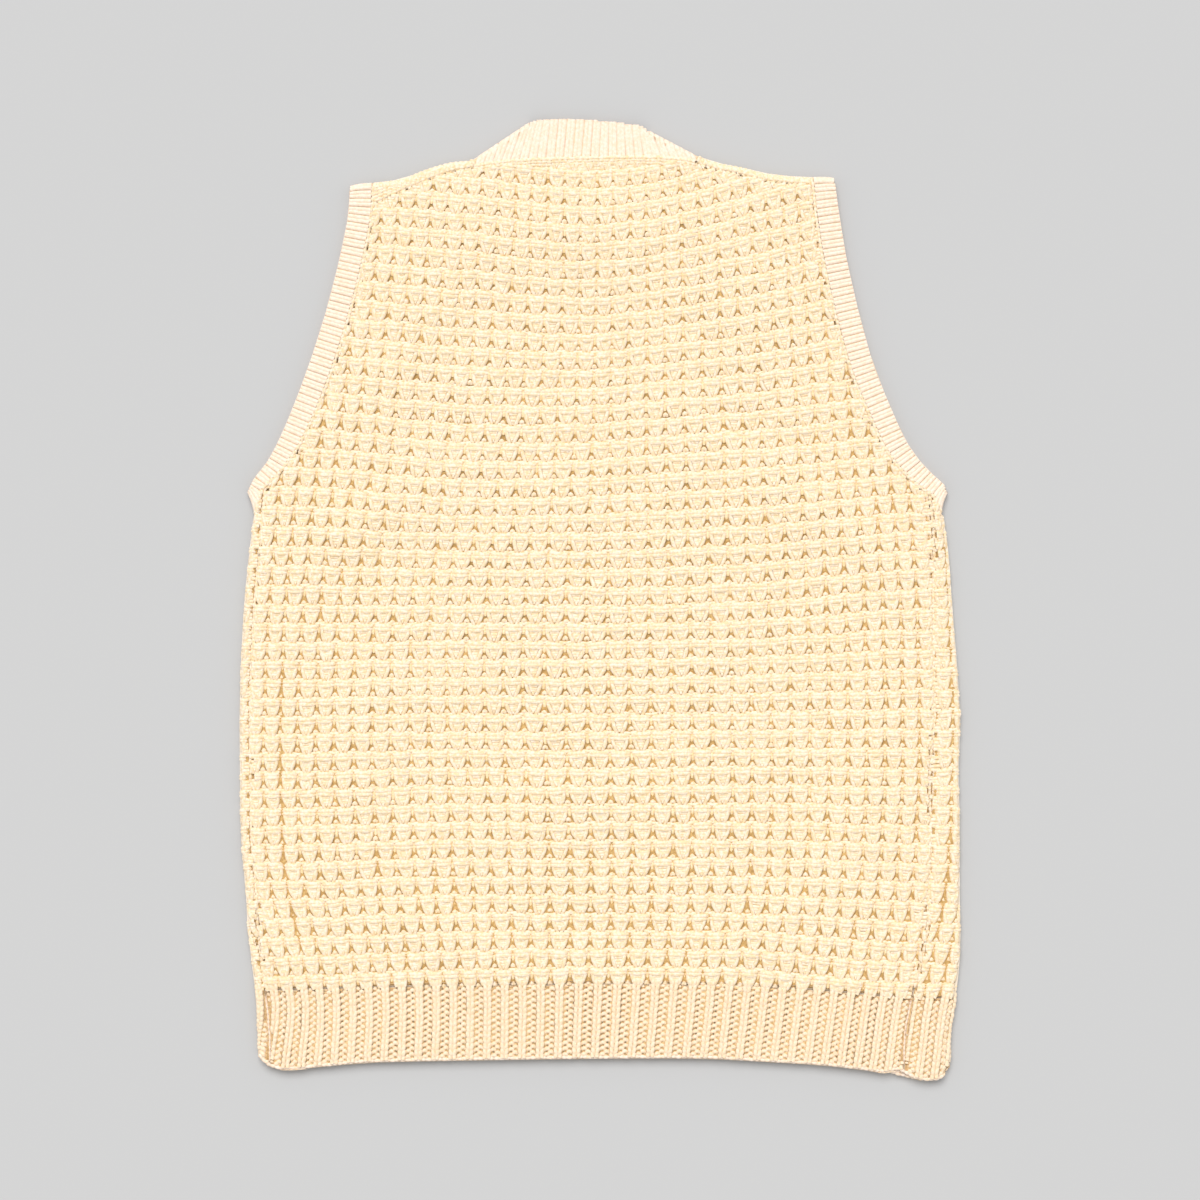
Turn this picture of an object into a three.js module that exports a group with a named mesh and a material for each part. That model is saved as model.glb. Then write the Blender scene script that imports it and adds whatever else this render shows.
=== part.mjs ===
// Knitted sweater vest laid flat on its front, its back uppermost.
// Millimetres, +Z up: the hem is toward -Y, the neck toward +Y, the underside rests at z = 0.

import * as THREE from 'three';

// Cloth thicknesses and the spaces between pieces
const PANEL_WALL = 3.4;
const BAND_WALL = 2.6;
const LAYER_GAP = 0.8;
const BAND_LAYER_GAP = 0.4;
const SEAM_GAP = 0.3;
const SLANT_GAP = 0.6;
const EDGE_ROUNDING = 2;
const EDGE_THINNING = 0.5;

// The cloth turns over itself round these radii, measured to the middle of the wall
const PANEL_FOLD = (PANEL_WALL + LAYER_GAP) / 2;
const BAND_FOLD_AT_SEAM = PANEL_FOLD + (PANEL_WALL - BAND_WALL) / 4;
const BAND_FOLD_AT_EDGE = (BAND_WALL + BAND_LAYER_GAP) / 2;
const PANEL_TURN = PANEL_FOLD + PANEL_WALL / 2;
const QUARTER_TURN = PANEL_FOLD * Math.PI / 2;
const UPPER_MIDDLE = PANEL_WALL / 2 + 2 * PANEL_FOLD;

// Ribs: how many, and how far they stand out of the wall
const HEM_RIBS = 36;
const HEM_RIB_PITCH = 12.3;
const HEM_RIB_HEIGHT = 1.1;
const FRONT_RIB_PHASE = 0.55;
const ARM_RIBS = 80;
const ARM_RIB_HEIGHT = 0.5;
const NECK_RIBS = 38;
const NECK_RIB_HEIGHT = 0.6;

// Outer side edges of the body, and how far the front wraps onto the back to the side seams
const BODY_SIDES = [
  { up: -300, left: -236.3, right: 241.6, leftWrap: 8.0, rightWrap: 31.5 },
  { up: -272, left: -238.2, right: 246.0, leftWrap: 6.9, rightWrap: 30.0 },
  { up: -250, left: -241.0, right: 248.5, leftWrap: 7.1, rightWrap: 26.4 },
  { up: -225, left: -243.8, right: 249.0, leftWrap: 7.4, rightWrap: 22.9 },
  { up: -195, left: -245.4, right: 248.3, leftWrap: 7.5, rightWrap: 21.2 },
  { up: -165, left: -248.3, right: 248.8, leftWrap: 7.5, rightWrap: 20.5 },
  { up: -120, left: -248.9, right: 247.6, leftWrap: 7.5, rightWrap: 20.0 },
  { up: -80, left: -249.2, right: 248.9, leftWrap: 7.5, rightWrap: 18.0 },
  { up: -40, left: -248.1, right: 246.2, leftWrap: 7.5, rightWrap: 16.0 },
  { up: 0, left: -245.8, right: 243.0, leftWrap: 7.5, rightWrap: 13.0 },
  { up: 30, left: -242.8, right: 241.0, leftWrap: 7.2, rightWrap: 10.4 },
  { up: 50, left: -240.4, right: 238.4, leftWrap: 6.6, rightWrap: 8.3 },
  { up: 62, left: -239.0, right: 236.0, leftWrap: 6.3, rightWrap: 7.2 },
  { up: 76, left: -237.5, right: 233.4, leftWrap: 6.2, rightWrap: 6.4 },
];

// Lower edge of the hem on the back and on the front, and the line where the waffle knit starts
const HEM = [
  { across: -237, back: -312, front: -312, top: -269.8 },
  { across: -232, back: -320, front: -320, top: -269.8 },
  { across: -225, back: -324, front: -323.5, top: -269.6 },
  { across: -214, back: -325, front: -323, top: -269.4 },
  { across: -196, back: -323.4, front: -320.5, top: -269 },
  { across: -160, back: -320.2, front: -317, top: -268 },
  { across: -100, back: -318.8, front: -316, top: -266.5 },
  { across: 0, back: -317.4, front: -315, top: -265.7 },
  { across: 70, back: -317.4, front: -315, top: -266.3 },
  { across: 110, back: -319.3, front: -316.5, top: -267.5 },
  { across: 155, back: -322.2, front: -319, top: -270 },
  { across: 180, back: -325, front: -322.5, top: -272.5 },
  { across: 196, back: -327, front: -326, top: -274 },
  { across: 206, back: -325.6, front: -329, top: -275 },
  { across: 213, back: -329.1, front: -330.5, top: -275.3 },
  { across: 221, back: -332.4, front: -332.4, top: -275.4 },
  { across: 230, back: -332.6, front: -332.6, top: -275.5 },
  { across: 236.5, back: -330, front: -330, top: -275.5 },
  { across: 241, back: -321, front: -321, top: -275.5 },
];

// Free edges of the armhole bands and the width of each band, from the underarm to the shoulder
const ARMHOLES = [
  { up: 75, left: -243.8, right: 243.4, leftWidth: 8.0, rightWidth: 10.2 },
  { up: 80, left: -241.2, right: 237.4, leftWidth: 8.6, rightWidth: 11.0 },
  { up: 85, left: -238.2, right: 231.6, leftWidth: 9.6, rightWidth: 12.0 },
  { up: 95, left: -230.4, right: 221.8, leftWidth: 11.2, rightWidth: 13.4 },
  { up: 110, left: -222.3, right: 211.3, leftWidth: 13.8, rightWidth: 14.8 },
  { up: 130, left: -213.6, right: 202.2, leftWidth: 15.4, rightWidth: 15.4 },
  { up: 160, left: -202.2, right: 189.9, leftWidth: 16.0, rightWidth: 15.8 },
  { up: 195, left: -190.8, right: 179.8, leftWidth: 16.0, rightWidth: 16.0 },
  { up: 235, left: -180.4, right: 170.6, leftWidth: 16.0, rightWidth: 16.0 },
  { up: 265, left: -174.4, right: 165.6, leftWidth: 16.0, rightWidth: 15.8 },
  { up: 283, left: -172.9, right: 162.6, leftWidth: 15.8, rightWidth: 15.4 },
  { up: 289, left: -172.6, right: 161.6, leftWidth: 15.8, rightWidth: 15.2 },
];
const ARMHOLE_FOOT = 80;
const ARMHOLE_HEAD = 290;
const ARMHOLE_STEP = 5;

// Heights of each armhole band at the underarm and where it meets the shoulder, and its outward sign
const UNDERARM = {
  left: { seamUp: 59.3, freeUp: 74.5, topUp: 283, side: -1 },
  right: { seamUp: 60.5, freeUp: 73.8, topUp: 287.6, side: 1 },
};

// Top edge of each shoulder, where the front turns over onto the back
const SHOULDERS = {
  left: [
    { across: -173, crest: 285.6 },
    { across: -166, crest: 287.2 },
    { across: -152, crest: 288.4 },
    { across: -136, crest: 291.0 },
    { across: -121, crest: 296.8 },
    { across: -104, crest: 301.8 },
    { across: -90, crest: 303.2 },
  ],
  right: [
    { across: 70, crest: 305.4 },
    { across: 80, crest: 302.0 },
    { across: 97, crest: 298.8 },
    { across: 113, crest: 294.8 },
    { across: 138, crest: 292.0 },
    { across: 156, crest: 291.9 },
    { across: 162, crest: 291.2 },
  ],
};

// Top edge of the back: left shoulder seam, back neckline, right shoulder seam
const BACK_TOP = [
  { across: -172, up: 270.0 },
  { across: -166, up: 271.5 },
  { across: -152, up: 275.2 },
  { across: -136, up: 283.0 },
  { across: -121, up: 289.4 },
  { across: -104, up: 295.6 },
  { across: -90, up: 298.2 },
  { across: -60, up: 302.0 },
  { across: -10, up: 304.0 },
  { across: 40, up: 304.4 },
  { across: 67, up: 301.4 },
  { across: 80, up: 297.4 },
  { across: 97, up: 294.0 },
  { across: 113, up: 290.0 },
  { across: 138, up: 287.2 },
  { across: 156, up: 287.1 },
  { across: 164, up: 286.4 },
];

// Neckband: its corners at the shoulders, its free edge behind the neck and its V in front
const NECK_CORNERS = {
  left: { seam: [-87, 300.2], free: [-50.5, 325.5], out: [-0.556, 0.832] },
  right: { seam: [67.2, 302.3], free: [33.5, 321.1], out: [0.469, 0.883] },
};
const NECK_TOP = [
  { across: -50.5, up: 325.5 },
  { across: -47, up: 328.9 },
  { across: -42, up: 330.8 },
  { across: -27, up: 331.8 },
  { across: 6, up: 329.7 },
  { across: 22, up: 327.7 },
  { across: 29, up: 325.9 },
  { across: 33.5, up: 321.1 },
];
const V_BOTTOM = { across: -10, up: 130, halfWidth: 4 };
const V_TOP = { left: [-89.6, 299.4], right: [69.9, 301.6] };
const V_BAND_DEPTH = 26;
const V_SHOULDER_EASE = 0.4;

// Soft rises of the upper layer, placed by eye: centre, half length, half width, height and turn
const RISES = [
  { across: -10, up: 250, long: 95, wide: 34, high: 2.4, turn: 0.05 },
  { across: -120, up: 205, long: 90, wide: 26, high: 1.8, turn: 1.15 },
  { across: 105, up: 190, long: 80, wide: 24, high: 1.7, turn: -1.2 },
  { across: -150, up: 60, long: 70, wide: 22, high: 2.0, turn: 0.55 },
  { across: 150, up: 55, long: 75, wide: 22, high: 1.9, turn: -0.6 },
  { across: -60, up: 20, long: 110, wide: 30, high: 1.5, turn: 1.45 },
  { across: 75, up: -30, long: 120, wide: 28, high: 1.6, turn: 1.7 },
  { across: -165, up: -110, long: 85, wide: 24, high: 1.8, turn: 1.35 },
  { across: 190, up: -120, long: 95, wide: 20, high: 2.1, turn: 1.6 },
  { across: -20, up: -150, long: 90, wide: 32, high: 1.4, turn: 0.2 },
  { across: 130, up: -215, long: 70, wide: 22, high: 1.6, turn: 0.9 },
  { across: -110, up: -235, long: 75, wide: 20, high: 1.3, turn: -0.3 },
];
const RISE_FADE = 30;

// Size of the upper layer, and the share of its length that lies below the armholes
const BACK_WIDTH = 400;
const BACK_LENGTH = 570;
const BACK_FOOT = { left: -230, right: 230 };
const BACK_HEAD = { left: -157, right: 147 };
const BACK_TUBE_SHARE = 0.625;

// How finely the walls are divided
const SOLVER_PASSES = 6;
const BACK_CELLS = 22;
const STRAP_CELLS = 5;
const V_ROW = 4;
const TURN_STEPS = [1, 0.75, 0.5, 0.25, 0, -0.25, -0.5, -0.75, -1];
const RIB_STEPS = [0.14, 0.34, 0.66, 0.86];
const HEM_ROWS = [0, 0.045, 0.3, 0.7, 0.965, 1];
const HEM_CELLS = 18;
const FRONT_HEM_STEPS = [0.04, 0.1, 0.2, 0.3, 0.4, 0.5];
const BAND_STEPS = [0, 0.12, 0.5, 0.9, 1];
const NECK_CELLS = 14;
const NECK_FRONT_STEPS = [0, 0.06, 0.14, 0.24, 0.36, 0.55, 0.78, 0.97];
const TUBE_ROWS = [0, 0.006, 0.04, 0.08, 0.13, 0.2, 0.28, 0.37, 0.47, 0.57, 0.67, 0.76, 0.84, 0.9, 0.95, 1];
const ARM_ROWS = [0.03, 0.065, 0.105, 0.15, 0.205, 0.27, 0.35, 0.45, 0.56, 0.68, 0.8, 0.91, 1];
const ARM_START = 2.2;

// Along an armhole band from the underarm crest to the shoulder crest: its two folds and its stations
const UNDERARM_SHARE = 0.05;
const SHOULDER_SHARE = 0.985;
const RIBS_END_SHARE = 0.98;
const ARM_STEPS = [0.05, 0.08, 0.12, 0.17, 0.24, 0.33, 0.45, 0.6, 0.75, 0.88, 0.94];
const UNDERARM_TURNS = [0, 0.0125, 0.025, 0.0375];
const SHOULDER_TURNS = [0.985, 0.98875, 0.9925, 0.99625, 1];

const CREAM = 0xf4e3bd;
const RIB_CREAM = 0xf5ddb8;

const { clamp, lerp, smoothstep } = THREE.MathUtils;
const OUT_OF_SHOULDER = [0, 1];
const UP = new THREE.Vector3(0, 0, 1);

// A value between the rows of a table, along a smooth curve
function read(rows, key, column, at) {
  const last = rows.length - 1;
  if (at <= rows[0][key]) return rows[0][column];
  if (at >= rows[last][key]) return rows[last][column];
  let i = 0;
  while (rows[i + 1][key] < at) i += 1;
  const slope = (j) => {
    const before = rows[Math.max(j - 1, 0)];
    const after = rows[Math.min(j + 1, last)];
    return (after[column] - before[column]) / (after[key] - before[key]);
  };
  const span = rows[i + 1][key] - rows[i][key];
  const t = (at - rows[i][key]) / span;
  const start = rows[i][column] * (1 + 2 * t) * (1 - t) ** 2 + slope(i) * span * t * (1 - t) ** 2;
  return start + rows[i + 1][column] * (3 - 2 * t) * t ** 2 - slope(i + 1) * span * t ** 2 * (1 - t);
}

const bodyEdge = (side, up) => read(BODY_SIDES, 'up', side, up);
const wrapAt = (side, up) => read(BODY_SIDES, 'up', `${side}Wrap`, up);
const crestAt = (side, across) => read(SHOULDERS[side], 'across', 'crest', across);
const hemAt = (column, across) => read(HEM, 'across', column, across);
const backTopAt = (across) => read(BACK_TOP, 'across', 'up', across);

// Distance from the side fold's crest to the side seam, along the middle of the wall
const seamDistance = (side, up) => wrapAt(side, up) - PANEL_TURN + QUARTER_TURN;

// The hidden seam between the front's hem and its waffle knit is straight
function frontHemTop(across) {
  const [start, end] = [HEM[2], HEM[13]];
  return lerp(start.top, end.top, clamp((across - start.across) / (end.across - start.across), 0, 1));
}

// Free edge of an armhole band and the seam beside it, at a height on the free edge
function armholePair(side, up) {
  const step = 0.5;
  const edge = (height) => read(ARMHOLES, 'up', side, height);
  const slope = (edge(up + step) - edge(up - step)) / (2 * step);
  const inward = new THREE.Vector2(1, -slope).normalize().multiplyScalar(-UNDERARM[side].side);
  const free = new THREE.Vector2(edge(up), up);
  const seam = free.clone().addScaledVector(inward, read(ARMHOLES, 'up', `${side}Width`, up));
  return { free, seam };
}

// The armhole seam as a table of its own, so that the panels can follow it
function armholeSeam(side) {
  const rows = [];
  for (let up = ARMHOLE_FOOT; up < ARMHOLE_HEAD; up += ARMHOLE_STEP) {
    const { seam } = armholePair(side, up);
    rows.push({ up: seam.y, across: seam.x });
  }
  return rows;
}
const ARM_SEAMS = { left: armholeSeam('left'), right: armholeSeam('right') };

// Side boundary of the upper panel: the side seam, then the armhole once that lies further in
function backBoundary(side, up) {
  const { side: outward } = UNDERARM[side];
  const seam = bodyEdge(side, up) - outward * (wrapAt(side, up) + SEAM_GAP);
  if (up < ARM_SEAMS[side][0].up) return seam;
  const armhole = read(ARM_SEAMS[side], 'up', 'across', up) - outward * SLANT_GAP;
  return outward > 0 ? Math.min(seam, armhole) : Math.max(seam, armhole);
}

// Distance from a plan point to the nearest outer edge of the garment
function insetAt(x, y) {
  const edge = (side) => (y < ARMHOLE_FOOT ? bodyEdge(side, y) : read(ARMHOLES, 'up', side, y));
  const side = x < V_BOTTOM.across ? 'left' : 'right';
  const crest = crestAt(side, x);
  return Math.min(x - edge('left'), edge('right') - x, y - hemAt('back', x), crest - y);
}

// Height of the soft rises of the upper layer at a plan point
function riseAt(x, y) {
  let height = 0;
  for (const rise of RISES) {
    const dx = x - rise.across;
    const dy = y - rise.up;
    const along = (dx * Math.cos(rise.turn) + dy * Math.sin(rise.turn)) / rise.long;
    const over = (dy * Math.cos(rise.turn) - dx * Math.sin(rise.turn)) / rise.wide;
    height += rise.high * Math.exp(-(along ** 2 + over ** 2));
  }
  return height * smoothstep(insetAt(x, y), 0, RISE_FADE);
}

// Middle of the wall and its outward direction, at a distance over a fold; above zero lies on top
function overFold(edge, out, distance, radius, wall) {
  const angle = clamp(distance / radius, -Math.PI / 2, Math.PI / 2);
  const beyond = Math.max(Math.abs(distance) - radius * Math.PI / 2, 0);
  const reach = radius * (Math.cos(angle) - 1) - wall / 2 - beyond;
  const middle = new THREE.Vector3(
    edge[0] + out[0] * reach,
    edge[1] + out[1] * reach,
    wall / 2 + radius * (1 + Math.sin(angle)),
  );
  const normal = new THREE.Vector3(out[0] * Math.cos(angle), out[1] * Math.cos(angle), Math.sin(angle));
  return { middle, normal };
}

// Outer and inner point of a wall; a border of the upper layer is thinned, which rounds its edge
function wallPoint({ middle, normal }, wall, relief = 0, border = false) {
  const lift = riseAt(middle.x, middle.y) * Math.max(normal.z, 0);
  const centre = middle.clone().addScaledVector(UP, lift);
  const thin = border && normal.z > 0 ? EDGE_THINNING : 1;
  const outer = centre.clone().addScaledVector(normal, wall / 2 * thin + relief);
  const inner = centre.clone().addScaledVector(normal, -wall / 2);
  return { outer, inner };
}

function geometryFrom(vertices, triangles) {
  const geometry = new THREE.BufferGeometry();
  const numbers = vertices.flatMap((v) => [v.x, v.y, v.z]);
  geometry.setAttribute('position', new THREE.Float32BufferAttribute(numbers, 3));
  geometry.setIndex(triangles.flat());
  geometry.computeVertexNormals();
  return geometry;
}

// Closed wall over the cells of a grid; a grid place may be empty, and cells are left out there
function wallOverGrid(grid, facesUp, keepCell = () => true) {
  const vertices = [];
  const triangles = [];
  const index = grid.map((row) => row.map((point) => {
    if (!point) return -1;
    vertices.push(point.outer, point.inner);
    return vertices.length - 2;
  }));
  const edges = new Map();
  for (let r = 0; r + 1 < grid.length; r += 1) {
    for (let c = 0; c + 1 < grid[r].length; c += 1) {
      const corners = [index[r][c], index[r][c + 1], index[r + 1][c + 1], index[r + 1][c]];
      if (corners.includes(-1) || !keepCell(r, c)) continue;
      if (!facesUp) corners.reverse();
      const [a, b, d, e] = corners;
      triangles.push([a, b, d], [a, d, e], [a + 1, d + 1, b + 1], [a + 1, e + 1, d + 1]);
      corners.forEach((corner, i) => {
        const next = corners[(i + 1) % corners.length];
        if (!edges.delete(`${next} ${corner}`)) edges.set(`${corner} ${next}`, [corner, next]);
      });
    }
  }
  for (const [a, b] of edges.values()) triangles.push([b, a, a + 1], [b, a + 1, b + 1]);
  return geometryFrom(vertices, triangles);
}

// Triangles between two rows of corners, each with its place along the edge
function zip(fine, coarse, flip) {
  const triangles = [];
  let i = 0;
  let j = 0;
  while (i < fine.length - 1 || j < coarse.length - 1) {
    const fineLeft = i < fine.length - 1;
    const coarseLeft = j < coarse.length - 1;
    if (fineLeft && (!coarseLeft || fine[i + 1].at <= coarse[j + 1].at)) {
      triangles.push([fine[i].corner, fine[i + 1].corner, coarse[j].corner]);
      i += 1;
    } else {
      triangles.push([fine[i].corner, coarse[j + 1].corner, coarse[j].corner]);
      j += 1;
    }
  }
  return flip ? triangles.map(([a, b, c]) => [a, c, b]) : triangles;
}

// Closed wall whose ribbed outside has more stations than its plain inside
function ribbedWall(outside, inside, closed) {
  const vertices = [];
  const place = (lines) => lines.map(({ at, points }) => (
    points.map((point) => ({ at, corner: vertices.push(point) - 1 }))
  ));
  const outer = place(outside);
  const inner = place(inside);
  if (closed) {
    for (const lines of [outer, inner]) {
      lines.push(lines[0].map(({ corner }) => ({ at: Infinity, corner })));
    }
  }
  const triangles = [];
  const surface = (lines, flip) => {
    for (let i = 0; i + 1 < lines.length; i += 1) {
      for (let j = 0; j + 1 < lines[i].length; j += 1) {
        const quad = [lines[i][j], lines[i + 1][j], lines[i + 1][j + 1], lines[i][j + 1]];
        const [a, b, c, d] = quad.map(({ corner }) => corner);
        triangles.push(...(flip ? [[a, c, b], [a, d, c]] : [[a, b, c], [a, c, d]]));
      }
    }
  };
  surface(outer, false);
  surface(inner, true);
  const across = (lines, j) => lines.map((line) => line.at(j));
  const byPlace = (line) => line.map(({ corner }, j) => ({ at: j, corner }));
  triangles.push(...zip(across(outer, 0), across(inner, 0), true));
  triangles.push(...zip(across(outer, -1), across(inner, -1), false));
  if (!closed) {
    triangles.push(...zip(byPlace(outer[0]), byPlace(inner[0]), false));
    triangles.push(...zip(byPlace(outer.at(-1)), byPlace(inner.at(-1)), true));
  }
  return geometryFrom(vertices, triangles);
}

// Fractions from 0 to 1 with a short first and last step
function fractions(count, margin) {
  const list = [0];
  for (let i = 0; i <= count; i += 1) list.push(lerp(margin, 1 - margin, i / count));
  return [...list, 1];
}

// Upper panel: a grid from the hem to the shoulders and neck, between the side boundaries
function backPanel() {
  const rows = [
    ...TUBE_ROWS.map((fraction) => fraction * BACK_TUBE_SHARE),
    ...ARM_ROWS.slice(0, -1).map((fraction) => lerp(BACK_TUBE_SHARE, 1, fraction)),
    1 - EDGE_ROUNDING / BACK_LENGTH,
    1,
  ];
  const columns = fractions(BACK_CELLS, EDGE_ROUNDING / BACK_WIDTH);
  const grid = rows.map((v, r) => columns.map((u, c) => {
    let across = lerp(BACK_FOOT.left, BACK_FOOT.right, u);
    let up = 0;
    for (let pass = 0; pass < SOLVER_PASSES; pass += 1) {
      const topAcross = lerp(BACK_HEAD.left, BACK_HEAD.right, u);
      const foot = hemAt('top', across) + SEAM_GAP / 2;
      up = lerp(foot, backTopAt(topAcross) - SEAM_GAP / 2, v);
      across = lerp(backBoundary('left', up), backBoundary('right', up), u);
    }
    const flat = { middle: new THREE.Vector3(across, up, UPPER_MIDDLE), normal: UP };
    const border = r === 0 || c === 0 || r === rows.length - 1 || c === columns.length - 1;
    return wallPoint(flat, PANEL_WALL, 0, border);
  }));
  return wallOverGrid(grid, true);
}

// Distances over the side fold for the columns of the front that turn onto the back
function sideColumns(seam, innerDistance) {
  const turn = TURN_STEPS.map((step) => step * QUARTER_TURN);
  return [seam, seam - Math.min(EDGE_ROUNDING, (seam - QUARTER_TURN) / 2), ...turn, -innerDistance];
}

// Height at which the tube of the body ends below the armhole band, at a distance over the fold
function underarmUp(side, distance) {
  const start = ARM_SEAMS[side][0].up;
  const { seamUp } = UNDERARM[side];
  const angle = Math.min(Math.abs(distance) / PANEL_FOLD, Math.PI / 2);
  const beyond = Math.max(Math.abs(distance) - QUARTER_TURN, 0);
  const steepGap = 3.9;
  return lerp(seamUp, start, 1 - Math.cos(angle)) - steepGap + Math.min(beyond, steepGap - SLANT_GAP);
}

// Points of one row of the front that turn up at a side, from the side seam to the flat
function turnedPoints(side, fraction, border) {
  const out = [UNDERARM[side].side, 0];
  const columns = (up) => sideColumns(seamDistance(side, up), QUARTER_TURN + ARM_START);
  return columns(0).map((_, column) => {
    let up = lerp(HEM[0].top, ARMHOLE_FOOT, fraction);
    let placed = null;
    for (let pass = 0; pass < SOLVER_PASSES; pass += 1) {
      const distance = columns(up)[column];
      placed = overFold([bodyEdge(side, up), up], out, distance, PANEL_FOLD, PANEL_WALL);
      up = lerp(frontHemTop(placed.middle.x) + SEAM_GAP / 2, underarmUp(side, distance), fraction);
      placed.middle.y = up;
    }
    return wallPoint(placed, PANEL_WALL, 0, border || column === 0);
  });
}

// Points of the flat front between two plan points, without the first and the last
function flatBetween(from, to, cells) {
  const list = [];
  for (let i = 1; i < cells; i += 1) {
    const plan = new THREE.Vector2().lerpVectors(from, to, i / cells);
    list.push(flatFront(plan));
  }
  return list;
}

function flatFront(plan) {
  const middle = new THREE.Vector3(plan.x, plan.y, PANEL_WALL / 2);
  return wallPoint({ middle, normal: UP.clone().negate() }, PANEL_WALL);
}

const planOf = (point) => new THREE.Vector2(point.inner.x, point.inner.y);

// The V neckline of the front, at a fraction of its height, a seam gap outside the neckband
function vEdge(side, fraction) {
  const outward = UNDERARM[side].side;
  const [x, y] = [V_BOTTOM.across + outward * (V_BOTTOM.halfWidth + SLANT_GAP), V_BOTTOM.up - SLANT_GAP];
  return new THREE.Vector2(lerp(x, V_TOP[side][0], fraction), lerp(y, V_TOP[side][1], fraction));
}

// Lower panel: a tube below the armholes that turns up at both sides, and two straps above
function frontPanel() {
  const grid = [];
  const centre = (up) => [-1, 1].map((sign) => (
    new THREE.Vector2(V_BOTTOM.across + sign * V_BOTTOM.halfWidth, up)
  ));
  const fullRow = (left, middle, right) => [
    ...left,
    ...flatBetween(planOf(left.at(-1)), middle[0], STRAP_CELLS),
    flatFront(middle[0]),
    flatFront(middle[1]),
    ...flatBetween(middle[1], planOf(right[0]), STRAP_CELLS),
    ...right,
  ];
  for (const fraction of TUBE_ROWS) {
    const border = fraction === 0;
    const level = lerp(frontHemTop(V_BOTTOM.across) + SEAM_GAP / 2, UNDERARM.left.freeUp, fraction);
    grid.push(fullRow(turnedPoints('left', fraction, border), centre(level),
      turnedPoints('right', fraction, border).reverse()));
  }
  const tubeEnd = grid.length - 1;
  const sideCount = sideColumns(0, 0).length;
  const blanks = new Array(sideCount - 1).fill(null);
  const armEdge = (side, fraction) => {
    const start = planOf(grid[tubeEnd][side === 'left' ? sideCount - 1 : grid[0].length - sideCount]).y;
    const across = read(ARM_SEAMS[side], 'up', 'across', ARMHOLE_HEAD) - UNDERARM[side].side * SLANT_GAP;
    const end = crestAt(side, across) - PANEL_TURN;
    const up = lerp(start, end, fraction);
    return new THREE.Vector2(backBoundary(side, up), up);
  };
  ARM_ROWS.forEach((fraction, i) => {
    const left = armEdge('left', fraction);
    const right = armEdge('right', fraction);
    const rise = (i - V_ROW) / (ARM_ROWS.length - 1 - V_ROW);
    const level = lerp(UNDERARM.left.freeUp, V_BOTTOM.up - SLANT_GAP, (i + 1) / (V_ROW + 1));
    const middle = i < V_ROW ? centre(level) : [vEdge('left', rise), vEdge('right', rise)];
    grid.push(fullRow([...blanks, flatFront(left)], middle, [flatFront(right), ...blanks]));
  });
  const neckRow = tubeEnd + 1 + V_ROW;
  const flatEnd = grid.length - 1;
  shoulderRows(grid[flatEnd]).forEach((row) => grid.push(row));
  const middleCell = sideCount - 1 + STRAP_CELLS;
  return wallOverGrid(grid, false, (r, c) => {
    const beyondArm = r >= tubeEnd && (c < sideCount - 1 || c >= grid[0].length - sideCount);
    return !beyondArm && !(r >= neckRow && c === middleCell);
  });
}

// Rows of both straps over the shoulder fold and on to the shoulder seams
function shoulderRows(lastFlat) {
  const turn = TURN_STEPS.slice(0, -1).reverse();
  const strip = [1.5, 2];
  return [...turn, ...strip].map((step, i, steps) => lastFlat.map((flat) => {
    if (!flat) return null;
    const across = flat.outer.x;
    const side = across < V_BOTTOM.across ? 'left' : 'right';
    const crest = crestAt(side, across);
    const toSeam = crest - backTopAt(across) - SEAM_GAP / 2 - PANEL_TURN + QUARTER_TURN;
    const over = step <= 1 ? step * QUARTER_TURN : lerp(QUARTER_TURN, toSeam, step - 1);
    const placed = overFold([across, crest], OUT_OF_SHOULDER, over, PANEL_FOLD, PANEL_WALL);
    return wallPoint(placed, PANEL_WALL, 0, i === steps.length - 1);
  }));
}

// Height of a rib at a distance counted in ribs, with a flat crest and a flat valley
function ribProfile(count) {
  const phase = Math.abs((count % 1 + 1) % 1 - 0.5);
  return clamp((0.36 - phase) / 0.2, 0, 1);
}

// Fractions along a ribbed edge with the corners of every rib
function ribStations(ribs) {
  const list = [0];
  for (let i = 0; i < ribs; i += 1) {
    for (const step of RIB_STEPS) list.push((i + step) / ribs);
  }
  return [...list, 1];
}

// Relief of the hem ribs, which run out into the cast-on edge
function hemRelief(count, v) {
  return HEM_RIB_HEIGHT * ribProfile(count) * smoothstep(v, 0.02, 0.16);
}

// Ribbed hem of the back, from side seam to side seam
function backHem() {
  const line = (u, ribbed) => HEM_ROWS.map((v) => {
    let across = lerp(BACK_FOOT.left, BACK_FOOT.right, u);
    let up = 0;
    for (let pass = 0; pass < SOLVER_PASSES; pass += 1) {
      up = lerp(hemAt('back', across), hemAt('top', across) - SEAM_GAP / 2, v);
      across = lerp(backBoundary('left', up), backBoundary('right', up), u);
    }
    const flat = { middle: new THREE.Vector3(across, up, UPPER_MIDDLE), normal: UP };
    const border = v === 0 || v === 1 || u === 0 || u === 1;
    const wall = PANEL_WALL - HEM_RIB_HEIGHT / 2;
    const placed = wallPoint(flat, wall, border ? 0 : hemRelief(u * HEM_RIBS, v), border);
    return ribbed ? placed.outer : placed.inner;
  });
  const outside = ribStations(HEM_RIBS).map((u) => ({ at: u, points: line(u, true) }));
  const plain = fractions(HEM_CELLS, EDGE_ROUNDING / BACK_WIDTH);
  const inside = plain.map((u) => ({ at: u, points: line(u, false) }));
  return ribbedWall(outside, inside, false);
}

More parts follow.
